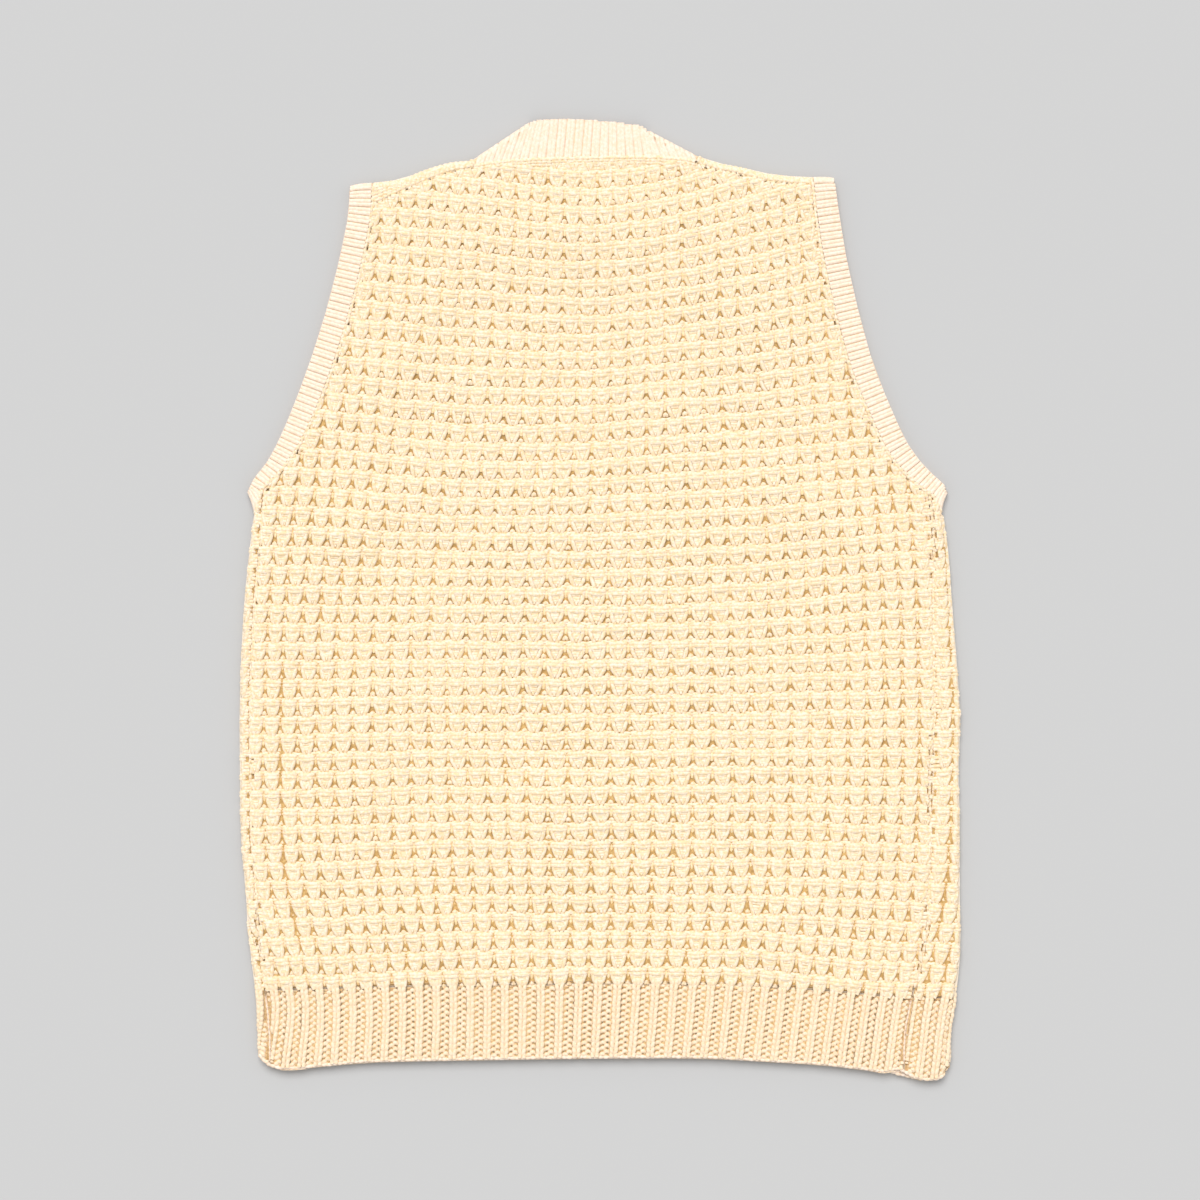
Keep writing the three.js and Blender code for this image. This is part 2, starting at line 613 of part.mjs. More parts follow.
// Stations round the front hem: the side whose fold they are measured from, and the distance over it
function frontHemStations() {
  const hemUp = HEM[0].top;
  const turns = TURN_STEPS.map((step) => step * QUARTER_TURN);
  const flatWidth = bodyEdge('right', hemUp) - bodyEdge('left', hemUp) - 2 * PANEL_TURN;
  const flats = FRONT_HEM_STEPS.map((step) => -QUARTER_TURN - step * flatWidth);
  const [first, last] = [QUARTER_TURN + 1, seamDistance('right', hemUp) - 2];
  const corners = [2, 3].flatMap((rib) => (
    RIB_STEPS.map((step) => (rib + step - FRONT_RIB_PHASE) * HEM_RIB_PITCH)
  ));
  const fixed = (side, list) => list.map((distance) => ({ side, over: () => distance }));
  return [
    { side: 'left', over: (up) => seamDistance('left', up) },
    { side: 'left', over: (up) => (seamDistance('left', up) + QUARTER_TURN) / 2 },
    ...fixed('left', turns),
    ...fixed('left', flats.slice(0, -1)),
    ...fixed('right', [...flats].reverse()),
    ...fixed('right', [...turns].reverse()),
    ...fixed('right', corners.filter((distance) => distance > first && distance < last)),
    { side: 'right', over: (up) => seamDistance('right', up) },
  ];
}

// Ribbed hem of the front, turned up at both sides; ribs show only where it faces up
function frontHem() {
  const stations = frontHemStations().reverse();
  const line = ({ side, over }, end, ribbed) => HEM_ROWS.map((v) => {
    const out = [UNDERARM[side].side, 0];
    let up = lerp(HEM[0].back, HEM[0].top, v);
    let distance = 0;
    let placed = null;
    for (let pass = 0; pass < SOLVER_PASSES; pass += 1) {
      distance = over(up);
      placed = overFold([bodyEdge(side, up), up], out, distance, PANEL_FOLD, PANEL_WALL);
      const edge = hemAt(distance > 0 ? 'back' : 'front', placed.middle.x);
      up = lerp(edge, frontHemTop(placed.middle.x) - SEAM_GAP / 2, v);
      placed.middle.y = up;
    }
    const border = v === 0 || v === 1 || end;
    const facesUp = smoothstep(placed.normal.z, -0.3, 0.6);
    const relief = hemRelief(distance / HEM_RIB_PITCH + FRONT_RIB_PHASE, v) * facesUp;
    const point = wallPoint(placed, PANEL_WALL - HEM_RIB_HEIGHT / 2 * facesUp, border ? 0 : relief, border);
    return ribbed ? point.outer : point.inner;
  });
  const lines = (ribbed) => stations.map((station, i) => {
    const end = i === 0 || i === stations.length - 1;
    return { at: i, points: line(station, end, ribbed) };
  });
  return ribbedWall(lines(true), lines(false), false);
}

// Points across a band between its seam and its free edge; relief stays off both borders
function bandLine(station, relief, ribbed) {
  return BAND_STEPS.map((w) => {
    const border = w === 0 || w === 1;
    const point = wallPoint(station(w), BAND_WALL, border ? 0 : relief, border);
    return ribbed ? point.outer : point.inner;
  });
}

const bandRadius = (w) => lerp(BAND_FOLD_AT_SEAM, BAND_FOLD_AT_EDGE, w);

// A point of an armhole band: along it from the underarm crest to the shoulder crest, and across
function armBandPoint(side, along, w, layer) {
  const { side: outward, seamUp, freeUp, topUp } = UNDERARM[side];
  const radius = bandRadius(w);
  const turn = radius + BAND_WALL / 2;
  const first = armholePair(side, ARMHOLE_FOOT);
  if (along < UNDERARM_SHARE) {
    const angle = along / UNDERARM_SHARE * Math.PI / 2;
    const crestUp = lerp(seamUp, freeUp, w);
    const flatUp = lerp(first.seam.y, first.free.y, w);
    const up = lerp(crestUp, flatUp, 1 - Math.cos(angle));
    const seamEdge = bodyEdge(side, up) - outward * (PANEL_TURN - turn);
    const freeEdge = first.free.x + outward * turn;
    const edge = [lerp(seamEdge, freeEdge, w), up];
    return overFold(edge, [outward, 0], layer * radius * angle, radius, BAND_WALL);
  }
  const fraction = clamp((along - UNDERARM_SHARE) / (SHOULDER_SHARE - UNDERARM_SHARE), 0, 1);
  const up = lerp(ARMHOLE_FOOT, topUp, fraction);
  const { seam, free } = armholePair(side, up);
  const start = [bodyEdge(side, first.seam.y) - outward * PANEL_TURN, first.seam.y];
  const settle = 1 - smoothstep(fraction, 0, 0.04);
  const plan = new THREE.Vector2().lerpVectors(seam, free, w);
  plan.x += (start[0] - first.seam.x) * settle * (1 - w);
  const crest = crestAt(side, plan.x);
  const flatEnd = crest - turn;
  const level = smoothstep(fraction, 0.9, 1);
  plan.y = lerp(plan.y, Math.min(flatEnd, lerp(plan.y, flatEnd, level)), level);
  const edge = [plan.x, plan.y + turn];
  if (along <= SHOULDER_SHARE) {
    return overFold(edge, OUT_OF_SHOULDER, layer * radius * Math.PI / 2, radius, BAND_WALL);
  }
  const angle = (1 - along) / (1 - SHOULDER_SHARE) * Math.PI / 2;
  return overFold([plan.x, crest], OUT_OF_SHOULDER, layer * radius * angle, radius, BAND_WALL);
}

// Armhole band: one ring, half of it on the back and half on the front
function armBand(side) {
  const count = 2 * ARM_RIBS;
  const ribbedSteps = Array.from({ length: count }, (_, i) => (
    lerp(UNDERARM_SHARE, RIBS_END_SHARE, i / (count - 1))
  ));
  const ring = (steps) => {
    const upper = [...UNDERARM_TURNS, ...steps, ...SHOULDER_TURNS].map((along) => ({ along, layer: 1 }));
    const lower = [...UNDERARM_TURNS.slice(1), ...ARM_STEPS, ...SHOULDER_TURNS.slice(0, -1)].reverse();
    return [...upper, ...lower.map((along) => ({ along, layer: -1 }))];
  };
  const line = (ribbed) => ({ along, layer }, i) => {
    const isRib = layer > 0 && along >= UNDERARM_SHARE && along <= RIBS_END_SHARE && i % 2 === 1;
    const at = (side === 'left' ? 1 : -1) * (layer > 0 ? along : 2 - along);
    const station = (w) => armBandPoint(side, along, w, layer);
    return { at, points: bandLine(station, isRib ? ARM_RIB_HEIGHT : 0, ribbed) };
  };
  const outside = ring(ribbedSteps).map(line(true));
  const inside = ring(ARM_STEPS).map(line(false));
  if (side === 'right') {
    outside.reverse();
    inside.reverse();
  }
  return ribbedWall(outside, inside, true);
}

// A point of the neckband behind the neck, from its left corner to its right one
function neckBackPoint(along, w) {
  const { left, right } = NECK_CORNERS;
  const t = 2 * along - 1;
  const fan = (t * (1.5 - 0.5 * t * t) + 1) / 2;
  const seamX = lerp(left.seam[0], right.seam[0], along);
  const ends = lerp(left.seam[1], right.seam[1], along) - backTopAt(seamX);
  const seamUp = backTopAt(seamX) + lerp(SEAM_GAP, ends, Math.abs(t) ** 8);
  const freeX = lerp(left.free[0], right.free[0], fan);
  const freeUp = read(NECK_TOP, 'across', 'up', freeX);
  const sag = 0.6 * (1 - t * t);
  const height = BAND_WALL / 2 + 2 * (bandRadius(w) - sag * w);
  const middle = new THREE.Vector3(lerp(seamX, freeX, w), lerp(seamUp, freeUp, w), height);
  return { middle, normal: UP };
}

// A point of the neckband in front, from a shoulder corner down to the point of the V
function neckFrontPoint(side, along, w) {
  const corner = NECK_CORNERS[side];
  const outward = UNDERARM[side].side;
  const start = new THREE.Vector2(...corner.seam);
  const aside = along < 1 ? outward * V_BOTTOM.halfWidth : 0;
  const foot = new THREE.Vector2(V_BOTTOM.across + aside, V_BOTTOM.up);
  const seam = new THREE.Vector2().lerpVectors(start, foot, along);
  const down = foot.clone().sub(start).normalize();
  const inward = new THREE.Vector2(down.y, -down.x).multiplyScalar(outward);
  const innerFoot = V_BOTTOM.up + V_BAND_DEPTH / Math.abs(down.x);
  const straight = (t) => new THREE.Vector2(
    lerp(corner.seam[0] + inward.x * V_BAND_DEPTH, V_BOTTOM.across, t),
    lerp(corner.seam[1] + inward.y * V_BAND_DEPTH, innerFoot, t),
  );
  const ease = Math.max(1 - along / V_SHOULDER_EASE, 0) ** 2;
  const free = straight(along);
  free.x += (corner.free[0] - straight(0).x) * ease;
  free.y += (corner.free[1] - straight(0).y) * ease;
  const plan = seam.lerp(free, w);
  const middle = new THREE.Vector3(plan.x, plan.y, BAND_WALL / 2);
  return { middle, normal: UP.clone().negate() };
}

// A point on the slanted fold of the neckband at a shoulder corner
function neckFoldPoint(side, angle, w) {
  const corner = NECK_CORNERS[side];
  const radius = bandRadius(w);
  const turn = radius + BAND_WALL / 2;
  const edge = [0, 1].map((i) => lerp(corner.seam[i], corner.free[i], w) + corner.out[i] * turn);
  return overFold(edge, corner.out, radius * angle, radius, BAND_WALL);
}

// Neckband: one ring that is folded at both shoulders, ribbed where it shows behind the neck
function neckband() {
  const turns = TURN_STEPS.slice(1, -1);
  const part = (first, steps, place) => steps.map((step, i) => (
    { at: first + i / steps.length, place: (w) => place(step, w) }
  ));
  const behind = (count) => Array.from({ length: count + 1 }, (_, i) => (
    { at: i / count, place: (w) => neckBackPoint(i / count, w), rib: i % 2 === 1 }
  ));
  const fold = (side) => (step, w) => neckFoldPoint(side, step * Math.PI / 2, w);
  const front = (side) => (step, w) => neckFrontPoint(side, step, w);
  const ring = (count) => [
    ...behind(count),
    ...part(2, turns, fold('right')),
    ...part(3, [...NECK_FRONT_STEPS, 1], front('right')),
    ...part(4, [...NECK_FRONT_STEPS].reverse(), front('left')),
    ...part(5, [...turns].reverse(), fold('left')),
  ];
  const line = (ribbed) => ({ at, place, rib }) => (
    { at, points: bandLine(place, rib ? NECK_RIB_HEIGHT : 0, ribbed) }
  );
  return ribbedWall(ring(2 * NECK_RIBS).map(line(true)), ring(NECK_CELLS).map(line(false)), true);
}

// Moves every piece so that the origin is below the middle of the whole
function centre(group) {
  const box = new THREE.Box3().setFromObject(group, true);
  const middle = box.getCenter(new THREE.Vector3());
  for (const mesh of group.children) mesh.geometry.translate(-middle.x, -middle.y, -box.min.z);
}

function piece(name, geometry, colour) {
  const material = new THREE.MeshStandardMaterial({ color: colour, roughness: 0.95, metalness: 0 });
  const mesh = new THREE.Mesh(geometry, material);
  mesh.name = name;
  return mesh;
}

const vest = new THREE.Group();
vest.add(
  piece('back_panel', backPanel(), CREAM),
  piece('front_panel', frontPanel(), CREAM),
  piece('back_hem_rib', backHem(), RIB_CREAM),
  piece('front_hem_rib', frontHem(), RIB_CREAM),
  piece('left_armhole_band', armBand('left'), RIB_CREAM),
  piece('right_armhole_band', armBand('right'), RIB_CREAM),
  piece('neckband', neckband(), RIB_CREAM),
);
centre(vest);

export default vest;
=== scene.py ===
# Knitted sweater vest laid flat on its front: yarn, ribs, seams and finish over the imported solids.
# Shapes are worked out in millimetres and become metres when their mesh is made.

import math
import bpy
import numpy as np
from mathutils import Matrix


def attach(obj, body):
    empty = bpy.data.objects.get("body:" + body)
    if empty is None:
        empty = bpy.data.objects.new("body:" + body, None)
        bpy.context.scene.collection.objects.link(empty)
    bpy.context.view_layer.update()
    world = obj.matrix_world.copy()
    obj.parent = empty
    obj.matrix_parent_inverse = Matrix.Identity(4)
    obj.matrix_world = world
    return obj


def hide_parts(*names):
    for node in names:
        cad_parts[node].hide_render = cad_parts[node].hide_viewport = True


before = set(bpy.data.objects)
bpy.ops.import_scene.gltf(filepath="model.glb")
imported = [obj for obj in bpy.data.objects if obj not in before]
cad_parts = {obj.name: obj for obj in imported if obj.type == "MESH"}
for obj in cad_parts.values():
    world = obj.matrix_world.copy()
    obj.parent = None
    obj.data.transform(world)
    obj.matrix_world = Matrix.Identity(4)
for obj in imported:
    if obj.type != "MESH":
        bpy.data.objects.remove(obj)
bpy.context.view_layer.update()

MM = 0.001
SHIFT = np.array([0.11, 0.36, 0])  # from the outline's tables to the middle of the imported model
SIDES = {"left": -1, "right": 1}  # which way is outward
MIDDLE = -10  # the garment's middle line

# Cloth sizes, as in the solids
PANEL_WALL = 3.4
BAND_WALL = 2.6
LAYER_GAP = 0.8
BAND_LAYER_GAP = 0.4
PANEL_FOLD = (PANEL_WALL + LAYER_GAP) / 2
OUTER_FOLD = PANEL_FOLD + PANEL_WALL / 2
BAND_FOLD_AT_SEAM = PANEL_FOLD + (PANEL_WALL - BAND_WALL) / 4
BAND_FOLD_AT_EDGE = (BAND_WALL + BAND_LAYER_GAP) / 2
TOP = 2 * OUTER_FOLD

# How the yarn lies on the cloth
YARN_DROP = 2.0  # how far the ground that waffle and ribs stand on lies below the solid's outer face
SEAM_SINK = 0.9  # how far yarn sinks at a seam, and over which distance
SEAM_FADE = 3.0
EDGE_GAP = 0.2  # yarn nearer than this to its piece's edge is left out
FOLD_EASE = 0.6  # share by which the waffle's relief is flatter over the side folds
FOLD_REACH = 1.9  # how far yarn runs round a side fold, in radians
FOLD_FOOT = 1.9  # the lowest that yarn on a side fold may lie
SIDE_STRIP_TOP = 70  # where the waffle of the side strips ends, and how much lower it ends on the fold
SIDE_STRIP_FALL = 13
WAFFLE_TUCK = 1.5  # how far the waffle's yarn runs down over the top of the hem
SHOULDER_MARGIN = 2.5  # holes near the shoulder seams are knitted shut this much sooner
HEM_SEAM_GAP = 1.4  # half width of the groove between the hem's ribs at the side seams
HEM_EDGE_GAP = 0.6  # where the hem's ribs end above its lower edge

# Outer side edges of the body, and how far the front wraps onto the back to the side seams
BODY_SIDES = {
    "up": [-300, -272, -250, -225, -195, -165, -120, -80, -40, 0, 30, 50, 62, 76],
    "left": [-236.3, -238.2, -241, -243.8, -245.4, -248.3, -248.9, -249.2, -248.1, -245.8, -242.8,
             -240.4, -239, -237.5],
    "right": [241.6, 246, 248.5, 249, 248.3, 248.8, 247.6, 248.9, 246.2, 243, 241, 238.4,
              236, 233.4],
    "left_wrap": [8, 6.9, 7.1, 7.4, 7.5, 7.5, 7.5, 7.5, 7.5, 7.5, 7.2, 6.6, 6.3, 6.2],
    "right_wrap": [31.5, 30, 26.4, 22.9, 21.2, 20.5, 20, 18, 16, 13, 10.4, 8.3, 7.2, 6.4],
}

# Lower edge of the hem on the back, and the line where the waffle knit starts
HEM = {
    "across": [-237, -232, -225, -214, -196, -160, -100, 0, 70, 110, 155, 180, 196, 206, 213, 221, 230,
               236.5, 241],
    "back": [-312, -320, -324, -325, -323.4, -320.2, -318.8, -317.4, -317.4, -319.3, -322.2, -325, -327,
             -325.6, -329.1, -332.4, -332.6, -330, -321],
    "top": [-269.8, -269.8, -269.6, -269.4, -269, -268, -266.5, -265.7, -266.3, -267.5, -270, -272.5,
            -274, -275, -275.3, -275.4, -275.5, -275.5, -275.5],
}

# Free edges of the armhole bands and the width of each band, from the underarm to the shoulder
ARMHOLES = {
    "up": [75, 80, 85, 95, 110, 130, 160, 195, 235, 265, 283, 289],
    "left": [-243.8, -241.2, -238.2, -230.4, -222.3, -213.6, -202.2, -190.8, -180.4, -174.4, -172.9, -172.6],
    "right": [243.4, 237.4, 231.6, 221.8, 211.3, 202.2, 189.9, 179.8, 170.6, 165.6, 162.6, 161.6],
    "left_width": [8, 8.6, 9.6, 11.2, 13.8, 15.4, 16, 16, 16, 16, 15.8, 15.8],
    "right_width": [10.2, 11, 12, 13.4, 14.8, 15.4, 15.8, 16, 16, 15.8, 15.4, 15.2],
}
ARMHOLE_FOOT = 80
ARMHOLE_TOP = 290
ARMHOLE_STEP = 5.0
UNDERARM = {
    "left": {"seam_up": 59.3, "free_up": 74.5, "top_up": 283},
    "right": {"seam_up": 60.5, "free_up": 73.8, "top_up": 287.6},
}
UNDERARM_SHARE = 0.05  # share of a band's length that turns at the underarm, and where it turns at the top
SHOULDER_SHARE = 0.985
UNDERARM_BLEND = 0.04  # shares over which the band leaves the underarm and levels out at the shoulder
SHOULDER_BLEND = 0.9
ARM_PITCH = 2.8

# Top edge of each shoulder, where the front turns over onto the back
SHOULDERS = {
    "left": {
        "across": [-173, -166, -152, -136, -121, -104, -90],
        "crest": [285.6, 287.2, 288.4, 291, 296.8, 301.8, 303.2],
    },
    "right": {
        "across": [70, 80, 97, 113, 138, 156, 162],
        "crest": [305.4, 302, 298.8, 294.8, 292, 291.9, 291.2],
    },
}
SHOULDER_TURN = 1.75  # radians that the fine rows go round the fold
SHOULDER_ROWS = {"left": 7, "right": 5}
SHOULDER_POINTS = 40
SHOULDER_SEAM_GAP = 0.4

# Top edge of the back: left shoulder seam, back neckline, right shoulder seam
BACK_TOP = {
    "across": [-172, -166, -152, -136, -121, -104, -90, -60, -10, 40, 67, 80, 97, 113, 138, 156, 164],
    "up": [270, 271.5, 275.2, 283, 289.4, 295.6, 298.2, 302, 304, 304.4, 301.4, 297.4, 294,
           290, 287.2, 287.1, 286.4],
}

# Neckband: its corners at the shoulders and its free edge behind the neck
NECK_CORNERS = {
    "left": {"seam": [-87, 300.2], "free": [-50.5, 325.5], "out": [-0.556, 0.832]},
    "right": {"seam": [67.2, 302.3], "free": [33.5, 321.1], "out": [0.469, 0.883]},
}
NECK_TOP = {
    "across": [-50.5, -47, -42, -27, 6, 22, 29, 33.5],
    "up": [325.5, 328.9, 330.8, 331.8, 329.7, 327.7, 325.9, 321.1],
}
NECK_PITCH = 3.1
NECK_LEANS = {
    "across": [-87, -60, -46, -36, -8, 3, 21, 34, 40, 67],
    "lean": [0.40, 0.33, 0.19, 0.11, 0.08, 0.03, -0.07, -0.20, -0.34, -0.45],
}
NECK_RUN = (0.6, 34)  # where the ribs start above the seam, and the longest that they can be
NECK_STEP = 0.8
NECK_OVERHANG = 0.8  # how far the ribs run past the free edge behind the neck
NECK_END = 1.09  # where the ribs end past the band's corners, as a share of its width
NECK_TURN_END = -0.25  # the ribs end where the fold faces down more steeply than this
NECK_SLACK = 0.6  # how much tighter the band is folded along its free edge, behind the neck

# Soft rises of the upper layer: centre, half length, half width, height and turn
RISES = [
    (-10, 250, 95, 34, 2.4, 0.05),
    (-120, 205, 90, 26, 1.8, 1.15),
    (105, 190, 80, 24, 1.7, -1.2),
    (-150, 60, 70, 22, 2, 0.55),
    (150, 55, 75, 22, 1.9, -0.6),
    (-60, 20, 110, 30, 1.5, 1.45),
    (75, -30, 120, 28, 1.6, 1.7),
    (-165, -110, 85, 24, 1.8, 1.35),
    (190, -120, 95, 20, 2.1, 1.6),
    (-20, -150, 90, 32, 1.4, 0.2),
    (130, -215, 70, 22, 1.6, 0.9),
    (-110, -235, 75, 20, 1.3, -0.3),
]
RISE_FADE = 30

# Sunk lines, from the top down: heights, places across and depth
GROOVES = [
    ([-55.9, -180.1, -242.9], [-218.7, -218.7, -206.7], 0.9),
]
GROOVE_WIDTH = 3.2
GROOVE_FADE = (6, 12)  # how far inside and past its ends a groove fades

# The knit is slacker, with wider holes, toward the sides and the hem
SLACK_ACROSS = (110, 210)
SLACK_UP = (-230, -40)

# Paths of the columns of holes: their place across at some rows of the waffle, counted down from the neck
COLUMNS = [-20, -17, -14, -8, -2, 4, 10, 16, 20, 23]
COLUMN_ROWS = [-4, 2, 12, 24, 36, 44, 48]
COLUMN_PATHS = [
    [-232.3, -243.3, -264.7, -275.7, -275.7, -252.2, -257],
    [-199.1, -208.7, -227.4, -241.2, -241.2, -219.1, -223.2],
    [-165.9, -174.2, -190.1, -206.7, -206.7, -188, -189.4],
    [-100.7, -105.9, -116.3, -130.8, -128, -119, -119.7],
    [-35.5, -36.2, -41.7, -52.8, -49.3, -47.3, -48],
    [30, 32.1, 32.1, 34.2, 36.2, 31.4, 27.9],
    [95.6, 103.8, 110.4, 117, 117, 107.3, 101.8],
    [161.1, 168, 183.2, 195.6, 193.5, 178.4, 171.5],
    [204.6, 210.8, 228, 241.8, 240.5, 221.1, 214.3],
    [237.3, 242.9, 261.6, 276.5, 275.8, 253.1, 246.4],
]

# How far the rows of holes lie above the level of the middle, at some columns and rows
SHIFT_COLUMNS = [-20, -14, -7, 0, 5, 10, 16, 22]
SHIFT_ROWS = [-4, 2, 8, 14, 22, 30, 38, 43, 48]
ROW_SHIFTS = [
    [15, 15, 14, 10, 2, -2.1, -3.5, -6.5, -7],
    [13.1, 13.1, 11, 8.3, 0.7, -2.1, -2.8, -5.5, -6],
    [8.5, 7.6, 3.5, 0.3, 0, 0, 0, -2.1, -2.1],
    [0, 0, 0, 0, 0, 0, 0, 0, 0],
    [5.8, 5.5, 4.8, 4.1, 0.7, 0.7, 0, 0, 0],
    [21, 20, 12.4, 8.3, 3.5, 1.4, 0, -1.4, -1.4],
    [36, 34.5, 25.5, 15.2, 9.7, 1.4, -3.5, -9.7, -10],
    [44, 42, 33, 20, 13, 1.8, -6, -11.5, -12],
]
FIRST_ROW_UP = 273.4
ROW_PITCH = 12.5
HOLE_BELOW_BAR = 0.55

# Grid of random values behind all unevenness, and where its reading starts
NOISE_SIZE = 96
NOISE_START = (40, 20)

CREAM = (0.92, 0.795, 0.65)
WARM_CREAM = (0.865, 0.665, 0.40)
# Painted shade for the notch strands between the pads: a warmer, more tan copy of the yarn's cream
NOTCH_SHADE_LIGHT = (0.93, 0.79, 0.54)
NOTCH_SHADE_DARK = (0.86, 0.66, 0.37)
HEM_CREAM = (0.905, 0.755, 0.585)
WARM_HEM = (0.86, 0.67, 0.45)
RIB_CREAM = (0.925, 0.785, 0.67)
WARM_RIB = (0.89, 0.70, 0.535)
# Ground colours below the yarn: painted shade, darker tans that stand in for the shade in the holes and gaps
# between strands
WAFFLE_HOLE_SHADE = (0.66, 0.44, 0.18)
WAFFLE_DEEP_SHADE = (0.46, 0.28, 0.10)
HEM_GAP_SHADE = (0.78, 0.57, 0.31)
HEM_DEEP_SHADE = (0.58, 0.37, 0.17)
RIB_GAP_SHADE = (0.87, 0.70, 0.45)
RIB_DEEP_SHADE = (0.75, 0.56, 0.32)


def smooth(value, low, high):
    """A soft step: 0 below low and 1 above high."""
    share = np.clip((np.asarray(value, float) - low) / (high - low), 0, 1)
    return share * share * (3 - 2 * share)


def neighbours(count):
    """Places in a table before and after each of its points."""
    here = np.arange(count)
    return np.maximum(here - 1, 0), np.minimum(here + 1, count - 1)


def cubic(t, span, start, start_slope, end, end_slope):
    """A smooth curve between two points of a table, as t runs from 0 to 1."""
    first = start * (1 + 2 * t) * (1 - t) ** 2 + start_slope * span * t * (1 - t) ** 2
    return first + end * (3 - 2 * t) * t ** 2 - end_slope * span * t ** 2 * (1 - t)


def curve(xs, ys, at):
    """Values between the points of a table, along a smooth curve."""
    xs, ys = np.asarray(xs, float), np.asarray(ys, float)
    at = np.clip(at, xs[0], xs[-1])
    before, after = neighbours(len(xs))
    slopes = (ys[after] - ys[before]) / (xs[after] - xs[before])
    i = np.clip(np.searchsorted(xs, at) - 1, 0, len(xs) - 2)
    span = xs[i + 1] - xs[i]
    return cubic((at - xs[i]) / span, span, ys[i], slopes[i], ys[i + 1], slopes[i + 1])


def surface(stations, rows, values, i, j):
    """Values of a table with two directions, smooth in both."""
    i, j = np.broadcast_arrays(np.asarray(i, float), np.asarray(j, float))
    lines = np.array([curve(rows, line, j) for line in values])
    stations = np.asarray(stations, float)
    before, after = neighbours(len(stations))
    gaps = (stations[after] - stations[before]).reshape((-1,) + (1,) * i.ndim)
    slopes = (lines[after] - lines[before]) / gaps
    k = np.clip(np.searchsorted(stations, i) - 1, 0, len(stations) - 2)
    span = stations[k + 1] - stations[k]
    t = (i - stations[k]) / span
    take = lambda data, where: np.take_along_axis(data, where[None], 0)[0]
    return cubic(t, span, take(lines, k), take(slopes, k), take(lines, k + 1), take(slopes, k + 1))


def body_edge(side, up):
    return curve(BODY_SIDES["up"], BODY_SIDES[side], up)


def side_seam(side, up):
    """Where the front's side strip meets the back."""
    return body_edge(side, up) - SIDES[side] * curve(BODY_SIDES["up"], BODY_SIDES[side + "_wrap"], up)


def armhole_edge(side, up):
    return curve(ARMHOLES["up"], ARMHOLES[side], up)


def crest_at(side, across):
    return curve(SHOULDERS[side]["across"], SHOULDERS[side]["crest"], across)


def hem_at(column, across):
    return curve(HEM["across"], HEM[column], across)


def back_top_at(across):
    return curve(BACK_TOP["across"], BACK_TOP["up"], across)


def armhole_pair(side, up):
    """Free edge of an armhole band and the seam beside it, at a height on the free edge."""
    slope = armhole_edge(side, up + 0.5) - armhole_edge(side, up - 0.5)
    length = np.hypot(1, slope)
    width = curve(ARMHOLES["up"], ARMHOLES[side + "_width"], up)
    inward = -SIDES[side]
    free = np.array([armhole_edge(side, up), up])
    seam = free + np.array([inward / length, -slope * inward / length]) * width
    return free, seam


def arm_seam(side):
    """The armhole seam as a table of heights and places across."""
    seams = np.array([armhole_pair(side, up)[1] for up in np.arange(ARMHOLE_FOOT, ARMHOLE_TOP, ARMHOLE_STEP)])
    return {"up": seams[:, 1], "across": seams[:, 0]}


ARM_SEAMS = {side: arm_seam(side) for side in SIDES}


def back_boundary(side, up):
    """Side boundary of the upper panel: the side seam, then the armhole once that lies further in."""
    outward = SIDES[side]
    seam = side_seam(side, up)
    armhole = curve(ARM_SEAMS[side]["up"], ARM_SEAMS[side]["across"], up)
    inner = np.minimum(seam * outward, armhole * outward) * outward
    return np.where(np.asarray(up) < ARM_SEAMS[side]["up"][0], seam, inner)


def outline_at(side, up):
    """Outer edge of the vest: its side, then the armhole's free edge."""
    return np.where(up < ARMHOLE_FOOT, body_edge(side, up), armhole_edge(side, up))


def rise_at(x, y):
    """Height of the soft rises of the upper layer."""
    height = 0
    for across, up, long, wide, high, turn in RISES:
        dx, dy = x - across, y - up
        along = (dx * math.cos(turn) + dy * math.sin(turn)) / long
        over = (dy * math.cos(turn) - dx * math.sin(turn)) / wide
        height = height + high * np.exp(-(along ** 2 + over ** 2))
    crest = np.where(x < MIDDLE, crest_at("left", x), crest_at("right", x))
    insets = [x - outline_at("left", y), outline_at("right", y) - x, y - hem_at("back", x), crest - y]
    return height * smooth(np.minimum.reduce(insets), 0, RISE_FADE)


def groove_at(x, y):
    """Depth of the sunk lines along some columns of the waffle."""
    depth = 0
    inner, outer = GROOVE_FADE
    for ups, across, deep in GROOVES:
        run = np.interp(-np.asarray(y, float), -np.array(ups), across)
        inside = smooth(y, ups[-1] - outer, ups[-1] + inner) * (1 - smooth(y, ups[0] - inner, ups[0] + outer))
        depth = depth + deep * inside * np.exp(-((x - run) / GROOVE_WIDTH) ** 2)
    return depth


def plan_at(i, j):
    """Plan place of a point of the waffle, from its column and row of holes."""
    x = surface(COLUMNS, COLUMN_ROWS, COLUMN_PATHS, i, j)
    y = FIRST_ROW_UP - ROW_PITCH * np.asarray(j, float) + surface(SHIFT_COLUMNS, SHIFT_ROWS, ROW_SHIFTS, i, j)
    return x, y


def wobble(u, v, seed):
    """Smooth seeded unevenness between -1 and 1."""
    grid = np.random.RandomState(seed).uniform(-1, 1, (NOISE_SIZE, NOISE_SIZE))
    u, v = np.asarray(u, float) + NOISE_START[0], np.asarray(v, float) + NOISE_START[1]
    a, b = np.floor(u).astype(int), np.floor(v).astype(int)
    s, t = u - a, v - b
    s, t = s * s * (3 - 2 * s), t * t * (3 - 2 * t)
    pick = lambda m, n: grid[(a + m) % NOISE_SIZE, (b + n) % NOISE_SIZE]
    low = pick(0, 0) * (1 - s) + pick(1, 0) * s
    high = pick(0, 1) * (1 - s) + pick(1, 1) * s
    return low * (1 - t) + high * t


def uneven(kind, i, j, seed=0, start=0):
    """Unevenness of one kind at a column and a row."""
    amount, across, down, own_seed = UNEVEN[kind]
    return amount * wobble(i * across, j * down + start, own_seed + seed)


